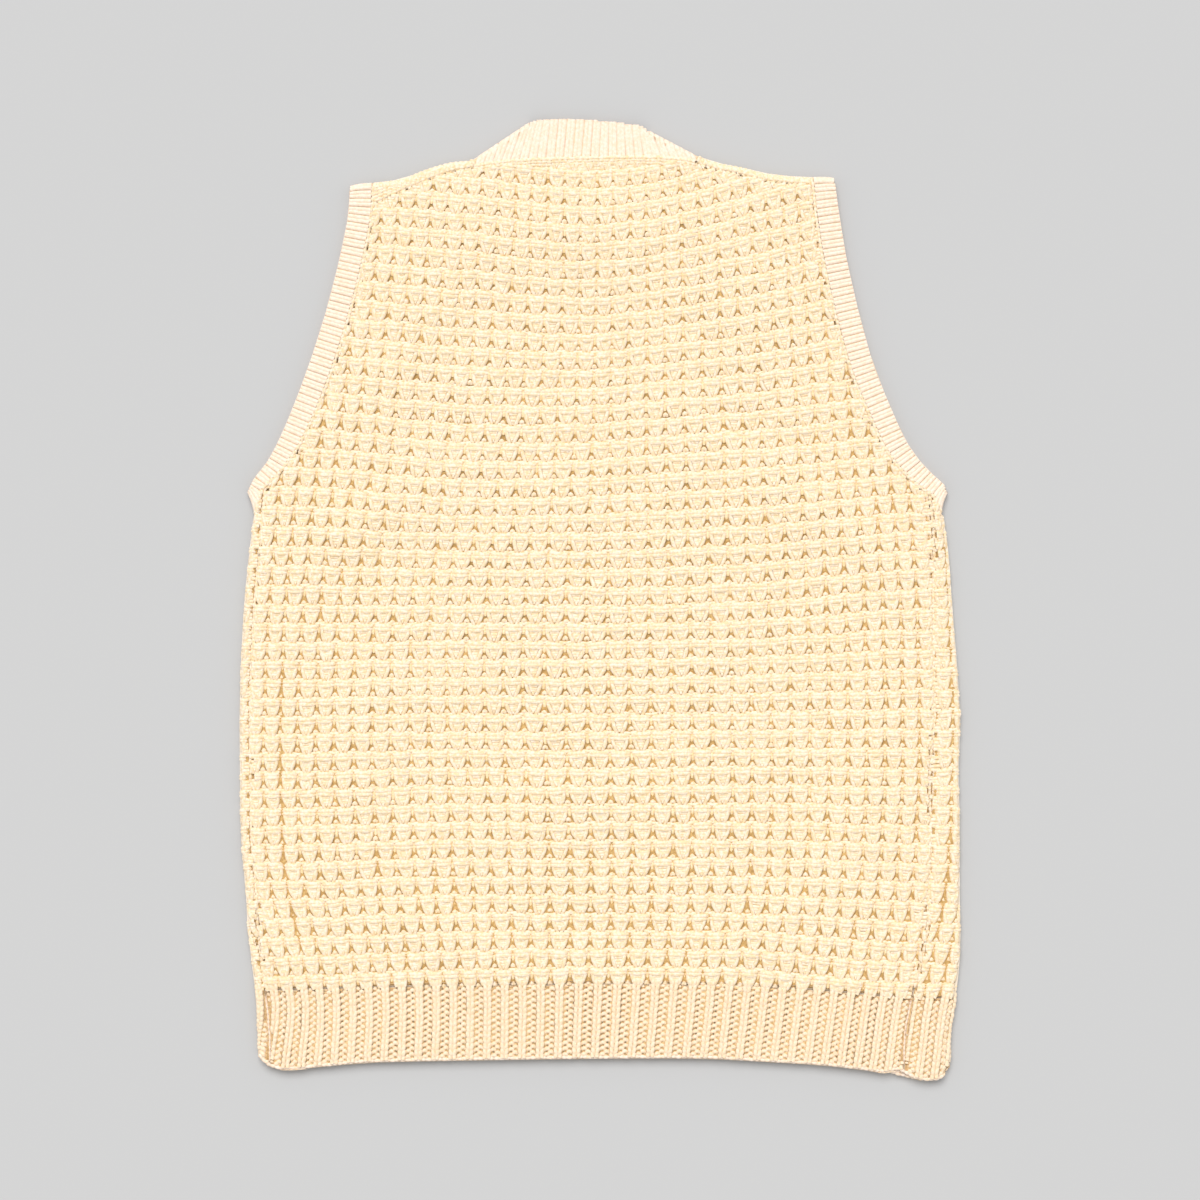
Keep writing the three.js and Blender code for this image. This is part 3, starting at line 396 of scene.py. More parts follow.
def seam_inset(x, y):
    """Distance of a point of the upper panel from its seams at the sides, armholes, shoulders and neck."""
    step = 2.0
    distances = [back_top_at(x) - y]
    for side, outward in SIDES.items():
        edge = back_boundary(side, y)
        slope = (back_boundary(side, y + step) - back_boundary(side, y - step)) / (2 * step)
        distances.append((edge - x) * outward / np.hypot(1, slope))
    return np.minimum.reduce(distances)


def sunk(h, inset):
    """Height of yarn that sinks toward its piece's edge."""
    return h - SEAM_SINK * (1 - smooth(inset, 0, SEAM_FADE))


def on_upper(x, y, h, inset):
    """Places and normals of yarn on the upper layer, and which of them are kept."""
    points = np.stack([x, y, TOP - YARN_DROP + rise_at(x, y) + sunk(h, inset)], -1)
    normals = np.zeros_like(points)
    normals[..., 2] = 1
    return points, normals, inset > EDGE_GAP


def on_back(x, y, h):
    """The back panel."""
    return on_upper(x, y, h, np.minimum(y - hem_at("top", x) + WAFFLE_TUCK, seam_inset(x, y)))


def over_fold(flat, start, outward, h):
    """Place and normal of a point that runs past the start of a fold; both in the plane across it."""
    beyond = np.maximum((flat - start) * outward, 0)
    angle = beyond / OUTER_FOLD
    radius = OUTER_FOLD - YARN_DROP + h
    place = np.where(beyond > 0, start + outward * radius * np.sin(angle), flat)
    z = OUTER_FOLD + radius * np.cos(angle)
    return place, z, angle


def side_inset(side):
    """Distance of a point of a side strip from the side seam."""
    return lambda x, y: (x - side_seam(side, y)) * SIDES[side]


def fold_start(side, y):
    return body_edge(side, y) - SIDES[side] * OUTER_FOLD


def round_side(side, across, y, z, angle, inset):
    """Places and normals of yarn round a side fold, and which of them are kept."""
    points = np.stack([across, y, z], -1)
    normals = np.stack([SIDES[side] * np.sin(angle), 0 * y, np.cos(angle)], -1)
    return points, normals, (inset > EDGE_GAP) & (angle < FOLD_REACH) & (z > FOLD_FOOT)


def on_side(side):
    """A side strip of the front, with its waffle."""
    outward = SIDES[side]

    def place(x, y, h):
        inset = np.minimum(side_inset(side)(x, y), y - hem_at("top", x) + WAFFLE_TUCK)
        h = sunk(h, inset)
        start = fold_start(side, y)
        turned = np.clip((x - start) * outward / OUTER_FOLD, 0, math.pi / 2)
        h = h - FOLD_EASE * np.maximum(h, 0) * np.sin(turned)
        across, z, angle = over_fold(x, start, outward, h)
        z = z + rise_at(across, y) * np.cos(np.minimum(angle, math.pi / 2))
        points, normals, keep = round_side(side, across, y, z, angle, inset)
        return points, normals, keep & (y < SIDE_STRIP_TOP - SIDE_STRIP_FALL * (1 - np.cos(angle)))

    return place


def shoulder_line(side, share):
    """A line along a shoulder strip of the front, from its seam (0) round the fold (1)."""
    ends = sorted([NECK_CORNERS[side]["seam"][0], float(ARM_SEAMS[side]["across"][-1])])
    xs = np.linspace(*ends, SHOULDER_POINTS)
    crest, seam = crest_at(side, xs), back_top_at(xs)
    flat = crest - OUTER_FOLD - seam
    run = seam + SHOULDER_SEAM_GAP + share * (flat + OUTER_FOLD * SHOULDER_TURN)
    up, z, angle = over_fold(run, crest - OUTER_FOLD, 1, 0.0)
    z = z + rise_at(xs, up) * np.cos(np.minimum(angle, math.pi / 2))
    points = np.stack([xs, up, z], -1)
    normals = np.stack([0 * xs, np.sin(angle), np.cos(angle)], -1)
    return list(zip(points, normals))


def unit(vectors):
    return vectors / np.maximum(np.linalg.norm(vectors, axis=-1, keepdims=True), 1e-9)


def grid_quads(index):
    """Faces of four corners between neighbours in the last two directions."""
    return np.stack([index[..., :-1, :-1], index[..., :-1, 1:], index[..., 1:, 1:], index[..., 1:, :-1]], -1)


STRAND_ANGLES = np.linspace(-1.9, 1.9, 5)  # where the points round a strand lie, from its top, in radians


class Yarn:
    """Gathers half-round strands for one mesh."""

    def __init__(self):
        self.points, self.faces, self.count = [], [], 0

    def add(self, centres, normals, radii, keep=None):
        """Strands along rows of centres; the stretches between kept centres become faces."""
        count, steps, _ = centres.shape
        along = unit(np.gradient(centres, axis=1))
        aside = unit(np.cross(along, normals))
        above = np.cross(aside, along)
        radii = np.broadcast_to(radii, centres.shape[:2])[..., None, None]
        angles = STRAND_ANGLES[None, None, :, None]
        around = np.sin(angles) * aside[:, :, None] + np.cos(angles) * above[:, :, None]
        ring = centres[:, :, None] + radii * around
        ring[..., 2] = np.maximum(ring[..., 2], 0)  # nothing reaches below the surface that the vest lies on
        quads = grid_quads(np.arange(ring[..., 0].size).reshape(count, steps, len(STRAND_ANGLES)))
        if keep is not None:
            quads = quads[keep[:, :-1] & keep[:, 1:]]
        used, compact = np.unique(quads.reshape(-1, 4), return_inverse=True)
        self.points.append(ring.reshape(-1, 3)[used])
        self.faces.append(compact.reshape(-1, 4) + self.count)
        self.count += len(used)

    def piece(self, name, material, slot):
        piece = mesh_object(name, np.concatenate(self.points), np.concatenate(self.faces), material)
        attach(piece, "root")
        return piece


def mesh_object(name, points, quads, material):
    """A smooth mesh object from points in millimetres and faces of four corners."""
    mesh = bpy.data.meshes.new(name)
    mesh.vertices.add(len(points))
    mesh.vertices.foreach_set("co", ((points + SHIFT) * MM).astype(np.float32).ravel())
    mesh.loops.add(quads.size)
    mesh.loops.foreach_set("vertex_index", quads.astype(np.int32).ravel())
    mesh.polygons.add(len(quads))
    mesh.polygons.foreach_set("loop_start", np.arange(0, quads.size, 4, dtype=np.int32))
    mesh.polygons.foreach_set("loop_total", np.full(len(quads), 4, dtype=np.int32))
    mesh.polygons.foreach_set("use_smooth", np.ones(len(quads), dtype=bool))
    mesh.update(calc_edges=True)
    mesh.materials.append(material)
    piece = bpy.data.objects.new(name, mesh)
    bpy.context.scene.collection.objects.link(piece)
    return piece


# Finish of the yarn: waves of noise per metre, where its colours change, and depths in metres
PATCHES = 520
PATCH_EDGES = (0.38, 0.62)
FIBRES = 750
FIBRE_DEPTH = 0.0009
# where each pit's painted shade fades into the cream
PIT_SHADE_EDGES = (0.08, 0.30)
PIT_DEPTH = 0.002
YARN_BUMP = 0.55
GROUND_BUMP = 0.8
PIT_BUMP = 0.6


def matt_material(name, gloss):
    material = bpy.data.materials.new(name)
    material.use_nodes = True
    shader = material.node_tree.nodes["Principled BSDF"]
    shader.inputs["Roughness"].default_value = 0.9
    shader.inputs["Specular IOR Level"].default_value = gloss
    return material, shader


def sheen_material(name):
    """Matt yarn with a soft sheen; also its object coordinates."""
    material, shader = matt_material(name, 0.2)
    shader.inputs["Sheen Weight"].default_value = 0.25
    shader.inputs["Sheen Roughness"].default_value = 0.6
    return material, material.node_tree.nodes.new("ShaderNodeTexCoord").outputs["Object"]


def noise_node(tree, place, scale):
    noise = tree.nodes.new("ShaderNodeTexNoise")
    noise.inputs["Scale"].default_value = scale
    noise.inputs["Detail"].default_value = 4
    tree.links.new(place, noise.inputs["Vector"])
    return noise.outputs["Fac"]


def colour_by(tree, value, edges, dark, light):
    """Colours the material from dark to light as a value runs from one edge to the other."""
    ramp = tree.nodes.new("ShaderNodeValToRGB")
    for stop, edge, colour in zip(ramp.color_ramp.elements, edges, (dark, light)):
        stop.position = edge
        stop.color = (*colour, 1)
    tree.links.new(value, ramp.inputs["Fac"])
    tree.links.new(ramp.outputs["Color"], tree.nodes["Principled BSDF"].inputs["Base Color"])


def raise_by(tree, value, strength, depth):
    """Fine relief that follows a value."""
    relief = tree.nodes.new("ShaderNodeBump")
    relief.inputs["Strength"].default_value = strength
    relief.inputs["Distance"].default_value = depth
    tree.links.new(value, relief.inputs["Height"])
    tree.links.new(relief.outputs["Normal"], tree.nodes["Principled BSDF"].inputs["Normal"])


def yarn_material(name, light, warm, bump=YARN_BUMP):
    """Yarn in uneven cream with fine fibres."""
    material, place = sheen_material(name)
    tree = material.node_tree
    colour_by(tree, noise_node(tree, place, PATCHES), PATCH_EDGES, warm, light)
    raise_by(tree, noise_node(tree, place, FIBRES), bump, FIBRE_DEPTH)
    return material


def pit_shade_material(name):
    """Yarn with the waffle's pits as shallow relief and as painted shade, darker tan in each pit, for faces
    that lie on the ground.
    """
    material, place = sheen_material(name)
    tree = material.node_tree
    pits = tree.nodes.new("ShaderNodeTexVoronoi")
    pits.inputs["Scale"].default_value = 1000 / ROW_PITCH
    pits.inputs["Randomness"].default_value = 0
    tree.links.new(place, pits.inputs["Vector"])
    # Painted shade: each pit is darker tan toward its middle
    colour_by(tree, pits.outputs["Distance"], PIT_SHADE_EDGES, WAFFLE_HOLE_SHADE, CREAM)
    raise_by(tree, pits.outputs["Distance"], PIT_BUMP, PIT_DEPTH)
    return material


waffle_yarn = yarn_material("waffle_yarn", CREAM, WARM_CREAM)
waffle_pit_shade = pit_shade_material("waffle_pit_shade")
# Painted shade: the notch strands get a warmer, tan copy of the yarn
painted_shade_notch_yarn = yarn_material("painted_shade_notch_yarn", NOTCH_SHADE_LIGHT, NOTCH_SHADE_DARK)
hem_yarn = yarn_material("hem_yarn", HEM_CREAM, WARM_HEM)
rib_yarn = yarn_material("rib_yarn", RIB_CREAM, WARM_RIB)
# Painted shade: the grounds under the yarn, seen through holes and gaps, are dark tans
waffle_shade_ground = yarn_material("waffle_shade_ground", WAFFLE_HOLE_SHADE, WAFFLE_DEEP_SHADE, GROUND_BUMP)
hem_shade_ground = yarn_material("hem_shade_ground", HEM_GAP_SHADE, HEM_DEEP_SHADE, GROUND_BUMP)
rib_shade_ground = yarn_material("rib_shade_ground", RIB_GAP_SHADE, RIB_DEEP_SHADE, GROUND_BUMP)

# Strands of one waffle cell: across from the middle of the cup in cell widths, down from the bar in cell
# heights, height above the ground and radius in millimetres
BAR = {
    "across": [-0.5, -0.435, -0.31, 0.0, 0.31, 0.435, 0.5],
    "lift": [-2.3, -0.45, 1.15, 1.6, 1.15, -0.45, -2.3],
    "radius": [0.9, 1.4, 1.8, 1.9, 1.8, 1.4, 0.9],
    "pull": 0.08,
}
BAR_DOWNS = (-0.085, 0.08)
LEGS = {
    "across": [-0.33, -0.29, -0.215, -0.135, -0.08],
    "down": [0.13, 0.33, 0.53, 0.68, 0.82],
    "lift": [0.8, 0.95, 1.0, 0.7, 0.2],
    "radius": [1.65, 1.72, 1.7, 1.5, 1.25],
    "pull": 0.11,
}
RUNG = {
    "across": [-1, -0.45, 0.45, 1],
    "lift": [1.35, 0.95, 0.95, 1.35],
    "radius": [1.25, 1.45, 1.45, 1.25],
}
RUNGS = ((0.22, 0.22), (0.38, 0.19), (0.51, 0.15), (0.64, 0.09))  # how far down, half width
BEAD = {
    "across": [0.41, 0.44, 0.5, 0.56, 0.59],
    "down": [0.70, 0.62, 0.575, 0.62, 0.70],
    "lift": [-0.3, 0.4, 0.7, 0.4, -0.3],
    "radius": [1.0, 1.35, 1.5, 1.35, 1.0],
    "seed": 5,
    "sink": 0.8,
}
FOOT = {
    "across": [0.2, 0.35, 0.5, 0.65, 0.8],
    "down": [0.75, 0.775, 0.79, 0.775, 0.75],
    "lift": [0.3, 0.3, 0.05, 0.3, 0.3],
    "radius": [1.25, 1.35, 1.25, 1.35, 1.25],
    "sink": 0.5,
}
# The notch strands are laid in the painted shade yarn
NOTCH = {
    "across": [0.5, 0.5, 0.5, 0.5],
    "down": [-0.17, 0.0, 0.2, 0.33],
    "lift": [-0.8, -0.45, -0.1, -0.6],
    "radius": [1.2, 1.35, 1.5, 1.2],
    "sink": 0.7,
}
FILL = {
    "across": [0.2, 0.36, 0.5, 0.64, 0.8],
    "lift": [0.6, 0.5, 0.3, 0.5, 0.6],
    "radius": [1.4, 1.55, 1.5, 1.55, 1.4],
}
FILL_DOWNS = (0.30, 0.48, 0.66, 0.82)
HOLE_MARGIN = 4.0  # holes whose middle lies nearer than this to a seam are knitted shut
STRAND_SWELL = 1.02  # strands are this much thicker than their tables say

# Seeded unevenness: its amount, its waves per column across and per row down, and its seed
UNEVEN = {
    "cell_across": (0.055, 1.3, 1.3, 11),
    "cell_down": (0.07, 1.1, 1.4, 12),
    "cell_lift": (0.35, 0.8, 0.8, 13),
    "fine_lift": (0.4, 2.3, 2.3, 14),
    "cell_radius": (0.12, 1.3, 1.3, 15),
    "knit_across": (0.015, 3, 1, 21),
    "knit_lift": (0.25, 1, 0.9, 22),
    "purl_across": (0.02, 3, 1, 23),
    "purl_lift": (0.3, 2.1, 1.3, 24),
    "seam_aside": (0.25, 0.4, 0, 31),
}


def lay_strand(yarn, cells, strand, place, down=0.0, mirror=1):
    """One strand of every cell, laid by a placing function."""
    column, row = [axis[:, None] for axis in cells]
    x, y = plan_at(column + 0.5, row)
    slack = np.maximum(smooth(abs(x), *SLACK_ACROSS), 1 - smooth(y, *SLACK_UP))
    i = column + 0.5 + mirror * np.array(strand["across"]) * (1 - strand.get("pull", 0) * slack)
    j = row - HOLE_BELOW_BAR + np.array(strand.get("down", 0)) + down
    seed = strand.get("seed", 0)
    i, j = i + uneven("cell_across", i, j, seed), j + uneven("cell_down", i, j, seed)
    x, y = plan_at(i, j)
    lift = np.array(strand["lift"]) - strand.get("sink", 0) * slack
    lift = lift + uneven("cell_lift", i, j) + uneven("fine_lift", i, j) - groove_at(x, y)
    radius = np.array(strand["radius"]) * (STRAND_SWELL + uneven("cell_radius", i, j))
    points, normals, keep = place(x, y, lift)
    yarn.add(points, normals, radius, keep)


def waffle(prefix, place, columns, rows, margin):
    """The strands of all cells of a region, as five pieces."""
    grid = np.meshgrid(np.arange(*columns), np.arange(*rows))
    cells = [axis.ravel().astype(float) for axis in grid]
    shut = margin(*plan_at(cells[0] + 1, cells[1])) < HOLE_MARGIN
    closed, open_cells = [axis[shut] for axis in cells], [axis[~shut] for axis in cells]
    bars, cups, rungs, tucks, hollows = Yarn(), Yarn(), Yarn(), Yarn(), Yarn()
    for down in BAR_DOWNS:
        lay_strand(bars, cells, BAR, place, down)
    for mirror in (-1, 1):
        lay_strand(cups, cells, LEGS, place, 0.0, mirror)
    for down, width in RUNGS:
        lay_strand(rungs, cells, {**RUNG, "across": np.array(RUNG["across"]) * width}, place, down)
    lay_strand(tucks, open_cells, BEAD, place)
    lay_strand(tucks, open_cells, FOOT, place)
    lay_strand(hollows, open_cells, NOTCH, place)
    for down in FILL_DOWNS:
        lay_strand(tucks, closed, FILL, place, down)
    names = ((bars, "_bars"), (cups, "_cups"), (rungs, "_rungs"), (tucks, "_tucks"))
    pieces = [yarn.piece(prefix + name, waffle_yarn, "waffle_knit") for yarn, name in names]
    return pieces + [hollows.piece(prefix + "_hollows", painted_shade_notch_yarn, "waffle_knit")]


def back_margin(x, y):
    """Room for a hole between it and the seams of the back."""
    return np.minimum(seam_inset(x, y), back_top_at(x) - y - SHOULDER_MARGIN)


# Columns and rows of cells: from, up to
back_yarn = waffle("back", on_back, (-20, 21), (-3, 46), back_margin)
side_yarn = waffle("left_side", on_side("left"), (-21, -13), (17, 46), side_inset("left"))
side_yarn += waffle("right_side", on_side("right"), (13, 24), (15, 46), side_inset("right"))

# Ribs of the hem: counted as the columns of holes, height as a share of the hem
HEM_ROWS = 13
HEM_TOP_ROW = 43.6
HEM_FOOT_ROW = 48
HEM_SQUEEZE = (12, 17)  # columns between which the ribs draw together toward the sides
HEM_TUCK = 5.5  # how far the ribs' knit stitches run up below the last row of the waffle

# Stitches of the ribs: across in columns, up in rows, height above the ground and radius in millimetres
KNIT = {
    "across": [0.04, 0.08, 0.115, 0.135, 0.12],
    "up": [-0.25, 0.1, 0.5, 0.9, 1.25],
    "lift": [0.7, 1.3, 1.6, 1.4, 0.9],
    "radius": [0.9, 1.35, 1.55, 1.4, 1.0],
    "spread": 0.02,  # how much further apart the legs are where the ribs draw together
}
PURL = {
    "across": [-0.13, -0.065, 0.0, 0.065, 0.13],
    "up": [-0.2, 0.06, 0.14, 0.06, -0.2],
    "lift": [-0.1, 0.5, 0.7, 0.5, -0.1],
    "radius": [1.0, 1.4, 1.5, 1.4, 1.0],
    "aside": 0.115,  # the two bumps of a row lie this far aside, and one this far up and the other down
    "stagger": 0.22,
    "start": 0.05,
    "narrow": 0.32,  # share by which the bumps are narrower where the ribs draw together
}


def hem_plan(i, v):
    x = surface(COLUMNS, COLUMN_ROWS, COLUMN_PATHS, i, HEM_FOOT_ROW + (HEM_TOP_ROW - HEM_FOOT_ROW) * v)
    y = hem_at("back", x) + (hem_at("top", x) - hem_at("back", x)) * v
    return x, y


def hem_insets(x, y):
    """Distances from the hem's free edge and from where its stitches end."""
    return [y - hem_at("back", x) - HEM_EDGE_GAP, hem_at("top", x) - y + HEM_TUCK]


def on_back_hem(x, y, h):
    """The hem between the side seams."""
    seams = [(side_seam(side, y) - x) * outward - HEM_SEAM_GAP for side, outward in SIDES.items()]
    return on_upper(x, y, h, np.minimum.reduce(hem_insets(x, y) + seams))


def on_hem_side(side):
    """The front hem's strip that wraps onto the back."""

    def place(x, y, h):
        inset = np.minimum.reduce([side_inset(side)(x, y) - HEM_SEAM_GAP] + hem_insets(x, y))
        across, z, angle = over_fold(x, fold_start(side, y), SIDES[side], sunk(h, inset))
        return round_side(side, across, y, z, angle, inset)

    return place


def hem_cells(columns, rows):
    """Column and row of each stitch."""
    return [axis.ravel()[:, None].astype(float) for axis in np.meshgrid(np.arange(*columns), np.arange(rows))]


def knit_stitches(yarn, place, columns):
    """Knit columns of paired slanting legs."""
    column, row = hem_cells(columns, HEM_ROWS + 1)
    squeeze = smooth(abs(column + 0.5), *HEM_SQUEEZE)
    for sign in (-1, 1):
        i = column + 0.5 + sign * (np.array(KNIT["across"]) + KNIT["spread"] * squeeze)
        i = i + uneven("knit_across", column, row)
        x, y = hem_plan(i, (row + KNIT["up"]) / HEM_ROWS)
        points, normals, keep = place(x, y, np.array(KNIT["lift"]) + uneven("knit_lift", column, row))
        yarn.add(points, normals, np.array(KNIT["radius"]), keep)


def purl_stitches(yarn, place, columns):
    """Purl columns of small staggered bumps."""
    column, row = hem_cells(columns, HEM_ROWS)
    squeeze = smooth(abs(column), *HEM_SQUEEZE)
    for sign in (-1, 1):
        across = sign * PURL["aside"] + np.array(PURL["across"])
        i = column + across * (1 - PURL["narrow"] * squeeze) + uneven("purl_across", column, row)
        v = (row + PURL["start"] + sign * PURL["stagger"] + np.array(PURL["up"])) / HEM_ROWS
        x, y = hem_plan(i, v)
        lift = np.array(PURL["lift"]) + uneven("purl_lift", column, row, start=sign)
        points, normals, keep = place(x, y, lift)
        yarn.add(points, normals, np.array(PURL["radius"]), keep)


def hem_ribs(name, place, columns):
    """Knit columns and the purl columns between them."""
    yarn = Yarn()
    knit_stitches(yarn, place, columns)
    purl_stitches(yarn, place, columns)
    return yarn.piece(name, hem_yarn, "rib_knit")


back_hem_yarn = hem_ribs("back_hem_stitches", on_back_hem, (-20, 21))
left_hem_yarn = hem_ribs("left_hem_stitches", on_hem_side("left"), (-21, -14))
right_hem_yarn = hem_ribs("right_hem_stitches", on_hem_side("right"), (15, 24))


def fold_point(edge, out, distance, radius, wall, lift):
    """Outer place and normal over a fold; above zero lies on top."""
    angle = np.clip(distance / radius, -math.pi / 2, math.pi / 2)
    beyond = max(abs(distance) - radius * math.pi / 2, 0)
    reach = radius * (math.cos(angle) - 1) - wall / 2 - beyond
    normal = np.array([out[0] * math.cos(angle), out[1] * math.cos(angle), math.sin(angle)])
    middle = np.array([edge[0] + out[0] * reach, edge[1] + out[1] * reach,
                       wall / 2 + radius * (1 + math.sin(angle))])
    point = middle + normal * (wall / 2 + lift)
    point[2] += float(rise_at(middle[0], middle[1])) * max(normal[2], 0)
    return point, normal


def band_radius(w):
    """Radius of a band's fold, from its seam (0) to its free edge (1)."""
    return BAND_FOLD_AT_SEAM + (BAND_FOLD_AT_EDGE - BAND_FOLD_AT_SEAM) * w


def underarm_point(side, turned, w, lift):
    """A point of an armhole band where it turns at the underarm; turned runs from the crest (0) to 1."""
    facts, outward, radius = UNDERARM[side], SIDES[side], band_radius(w)
    turn = radius + BAND_WALL / 2
    free_foot, seam_foot = armhole_pair(side, ARMHOLE_FOOT)
    angle = turned * math.pi / 2
    crest_up = facts["seam_up"] + (facts["free_up"] - facts["seam_up"]) * w
    flat_up = seam_foot[1] + (free_foot[1] - seam_foot[1]) * w
    up = crest_up + (flat_up - crest_up) * (1 - math.cos(angle))
    seam_edge = body_edge(side, up) - outward * (OUTER_FOLD - turn)
    free_edge = free_foot[0] + outward * turn
    edge = (seam_edge + (free_edge - seam_edge) * w, up)
    return fold_point(edge, (outward, 0), radius * angle, radius, BAND_WALL, lift)


def arm_point(side, along, w, lift):
    """A point on the upper half of an armhole band, from the underarm crest to the shoulder crest."""
    if along < UNDERARM_SHARE:
        return underarm_point(side, along / UNDERARM_SHARE, w, lift)
    radius = band_radius(w)
    turn = radius + BAND_WALL / 2
    share = min((along - UNDERARM_SHARE) / (SHOULDER_SHARE - UNDERARM_SHARE), 1)
    free, seam = armhole_pair(side, ARMHOLE_FOOT + (UNDERARM[side]["top_up"] - ARMHOLE_FOOT) * share)
    plan = seam + (free - seam) * w
    seam_foot = armhole_pair(side, ARMHOLE_FOOT)[1]
    off_fold = fold_start(side, seam_foot[1]) - seam_foot[0]
    plan[0] += off_fold * (1 - smooth(share, 0, UNDERARM_BLEND)) * (1 - w)
    crest = crest_at(side, plan[0])
    level = smooth(share, SHOULDER_BLEND, 1)
    flat_end = crest - turn
    target = min(flat_end, plan[1] + (flat_end - plan[1]) * level)
    plan[1] += (target - plan[1]) * level
    if along <= SHOULDER_SHARE:
        return fold_point((plan[0], plan[1] + turn), (0, 1), radius * math.pi / 2, radius, BAND_WALL, lift)
    angle = (1 - along) / (1 - SHOULDER_SHARE) * math.pi / 2
    return fold_point((plan[0], crest), (0, 1), radius * angle, radius, BAND_WALL, lift)


def neck_corner(side, w):
    """The line between the neckband's corners at a shoulder, from its seam (0) to its free edge (1)."""
    seam, free = NECK_CORNERS[side]["seam"], NECK_CORNERS[side]["free"]
    return [seam[k] + (free[k] - seam[k]) * w for k in (0, 1)]


def neck_fold(side, angle, w, lift):
    """A point where the neckband folds at a shoulder."""
    out, radius = NECK_CORNERS[side]["out"], band_radius(w)
    turn = radius + BAND_WALL / 2
    edge = [place + direction * turn for place, direction in zip(neck_corner(side, w), out)]
    return fold_point(edge, out, radius * angle, radius, BAND_WALL, lift)


def neck_flat(x, y):
    """Place and normal on the neckband behind the neck."""
    foot, top = float(back_top_at(x)), float(curve(NECK_TOP["across"], NECK_TOP["up"], x))
    w = min(max((y - foot) / (top - foot), 0), 1)
    low, high = [neck_corner(side, w)[0] for side in SIDES]
    t = min(max(2 * (x - low) / (high - low) - 1, -1), 1)
    height = BAND_WALL + 2 * (band_radius(w) - NECK_SLACK * (1 - t * t) * w) + float(rise_at(x, y))
    return np.array([x, y, height]), np.array([0, 0, 1.0])


def neck_rib(seam_x):
    """Places along one rib of the neckband, from the seam to the free edge or round a fold."""
    side = "left" if seam_x < MIDDLE else "right"
    corner = NECK_CORNERS[side]
    out, run = corner["out"], [corner["free"][k] - corner["seam"][k] for k in (0, 1)]
    lean = float(curve(NECK_LEANS["across"], NECK_LEANS["lean"], seam_x))
    line, folded = [], False
    for step in np.arange(*NECK_RUN, NECK_STEP):
        x, y = seam_x + lean * step, float(back_top_at(seam_x)) + step
        reach = (x - corner["seam"][0], y - corner["seam"][1])
        beyond = reach[0] * out[0] + reach[1] * out[1]
        w = (reach[0] * run[0] + reach[1] * run[1]) / (run[0] ** 2 + run[1] ** 2)
        folded = folded or (beyond > 0 and w < 1)
        if folded:
            point, normal = neck_fold(side, math.pi / 2 - beyond / band_radius(w), w, 0.0)
            if normal[2] < NECK_TURN_END or w > NECK_END:
                break
        else:
            point, normal = neck_flat(x, y)
            if y > curve(NECK_TOP["across"], NECK_TOP["up"], x) + NECK_OVERHANG:
                break
        line.append((point, normal))
    return line


PAIR_SHIFT = 0.07  # how far the ribs of a pair move together, in rib widths
RIB_TOP = 0.95  # how high a rib stands over the ground of a band
RIB_ROUND = 0.60  # radius of a rib, in rib widths
RIB_RADII = (0.9, 2.8)
RIB_BUMP = 0.09  # its stitches: how high they swell, and how far each is from the last, in radians
RIB_STITCH = 2.2
FOLD_SWELL = 0.9  # shares by which a rib is thicker and lower where the band turns down
FOLD_SINK = 0.6
ARM_RUN = (0.004, 0.997)  # from where to where the ribs of an armhole band lie, along it and across it
ARM_WIDTH = (0.03, 0.975)
ARM_SAMPLES = 500
ARM_STITCHES = 13


def rib_strand(yarn, line, radii):
    """One fine rib as a chain of small stitches along places with normals."""
    points, normals = np.array([p for p, _ in line]), np.array([n for _, n in line])
    bumps = RIB_BUMP * np.sin(np.arange(len(line)) * RIB_STITCH)
    turned = 1 - np.clip(normals[:, 2], 0, 1)
    radii = radii * (1 + FOLD_SWELL * turned)
    centres = points + normals * (RIB_TOP * (1 - FOLD_SINK * turned) + bumps - radii)[:, None]
    yarn.add(centres[None], normals[None], radii[None])


def paired(count):
    """Places of a row of ribs, in rib widths, drawn together in pairs."""
    ribs = np.arange(count)
    return ribs + 0.5 + PAIR_SHIFT * np.where(ribs % 2, -1, 1)


def arm_ribs(side):
    """Fine ribs across an armhole band, evenly spaced along its middle."""
    alongs = np.linspace(*ARM_RUN, ARM_SAMPLES)
    middles = np.array([arm_point(side, along, 0.5, 0.0)[0] for along in alongs])
    run = np.concatenate([[0], np.cumsum(np.linalg.norm(np.diff(middles, axis=0), axis=1))])
    count = int(run[-1] / ARM_PITCH)
    alongs = np.interp(paired(count) * run[-1] / count, run, alongs)
    shares = np.linspace(*ARM_WIDTH, ARM_STITCHES)
    lines = [[arm_point(side, along, w, 0.0) for w in shares] for along in alongs]
    return spaced_ribs(side + "_armhole_ribs", lines)


def spaced_ribs(name, lines):
    """Ribs as thick as their distance from their neighbours."""
    places = np.array([[point for point, _ in line] for line in lines])
    gaps = np.linalg.norm(np.diff(places, axis=0), axis=2)
    widths = (np.concatenate([gaps[:1], gaps]) + np.concatenate([gaps, gaps[-1:]])) / 2
    yarn = Yarn()
    for line, width in zip(lines, widths):
        rib_strand(yarn, line, np.clip(RIB_ROUND * width, *RIB_RADII))
    return yarn.piece(name, rib_yarn, "rib_knit")


def neck_ribs():
    """Fine ribs across the neckband, from its seam."""
    yarn = Yarn()
    left, right = [NECK_CORNERS[side]["seam"][0] for side in SIDES]
    count = round((right - left) / NECK_PITCH)
    for spot in paired(count):
        line = neck_rib(left + spot * (right - left) / count)
        if len(line) > 1:
            rib_strand(yarn, line, np.full(len(line), RIB_ROUND * NECK_PITCH))
    return yarn.piece("neckband_ribs", rib_yarn, "rib_knit")


left_arm_yarn = arm_ribs("left")
right_arm_yarn = arm_ribs("right")
neck_yarn = neck_ribs()

# Chains of seam stitches: distance of their points, points a stitch, and how much a stitch swells
CHAIN_STEP = 0.9
CHAIN_STITCH = 4
CHAIN_RISE = 0.35
CHAIN_THIN = 0.72
CHAIN_SWELL = 0.34
SEAM_STEP = 3.0

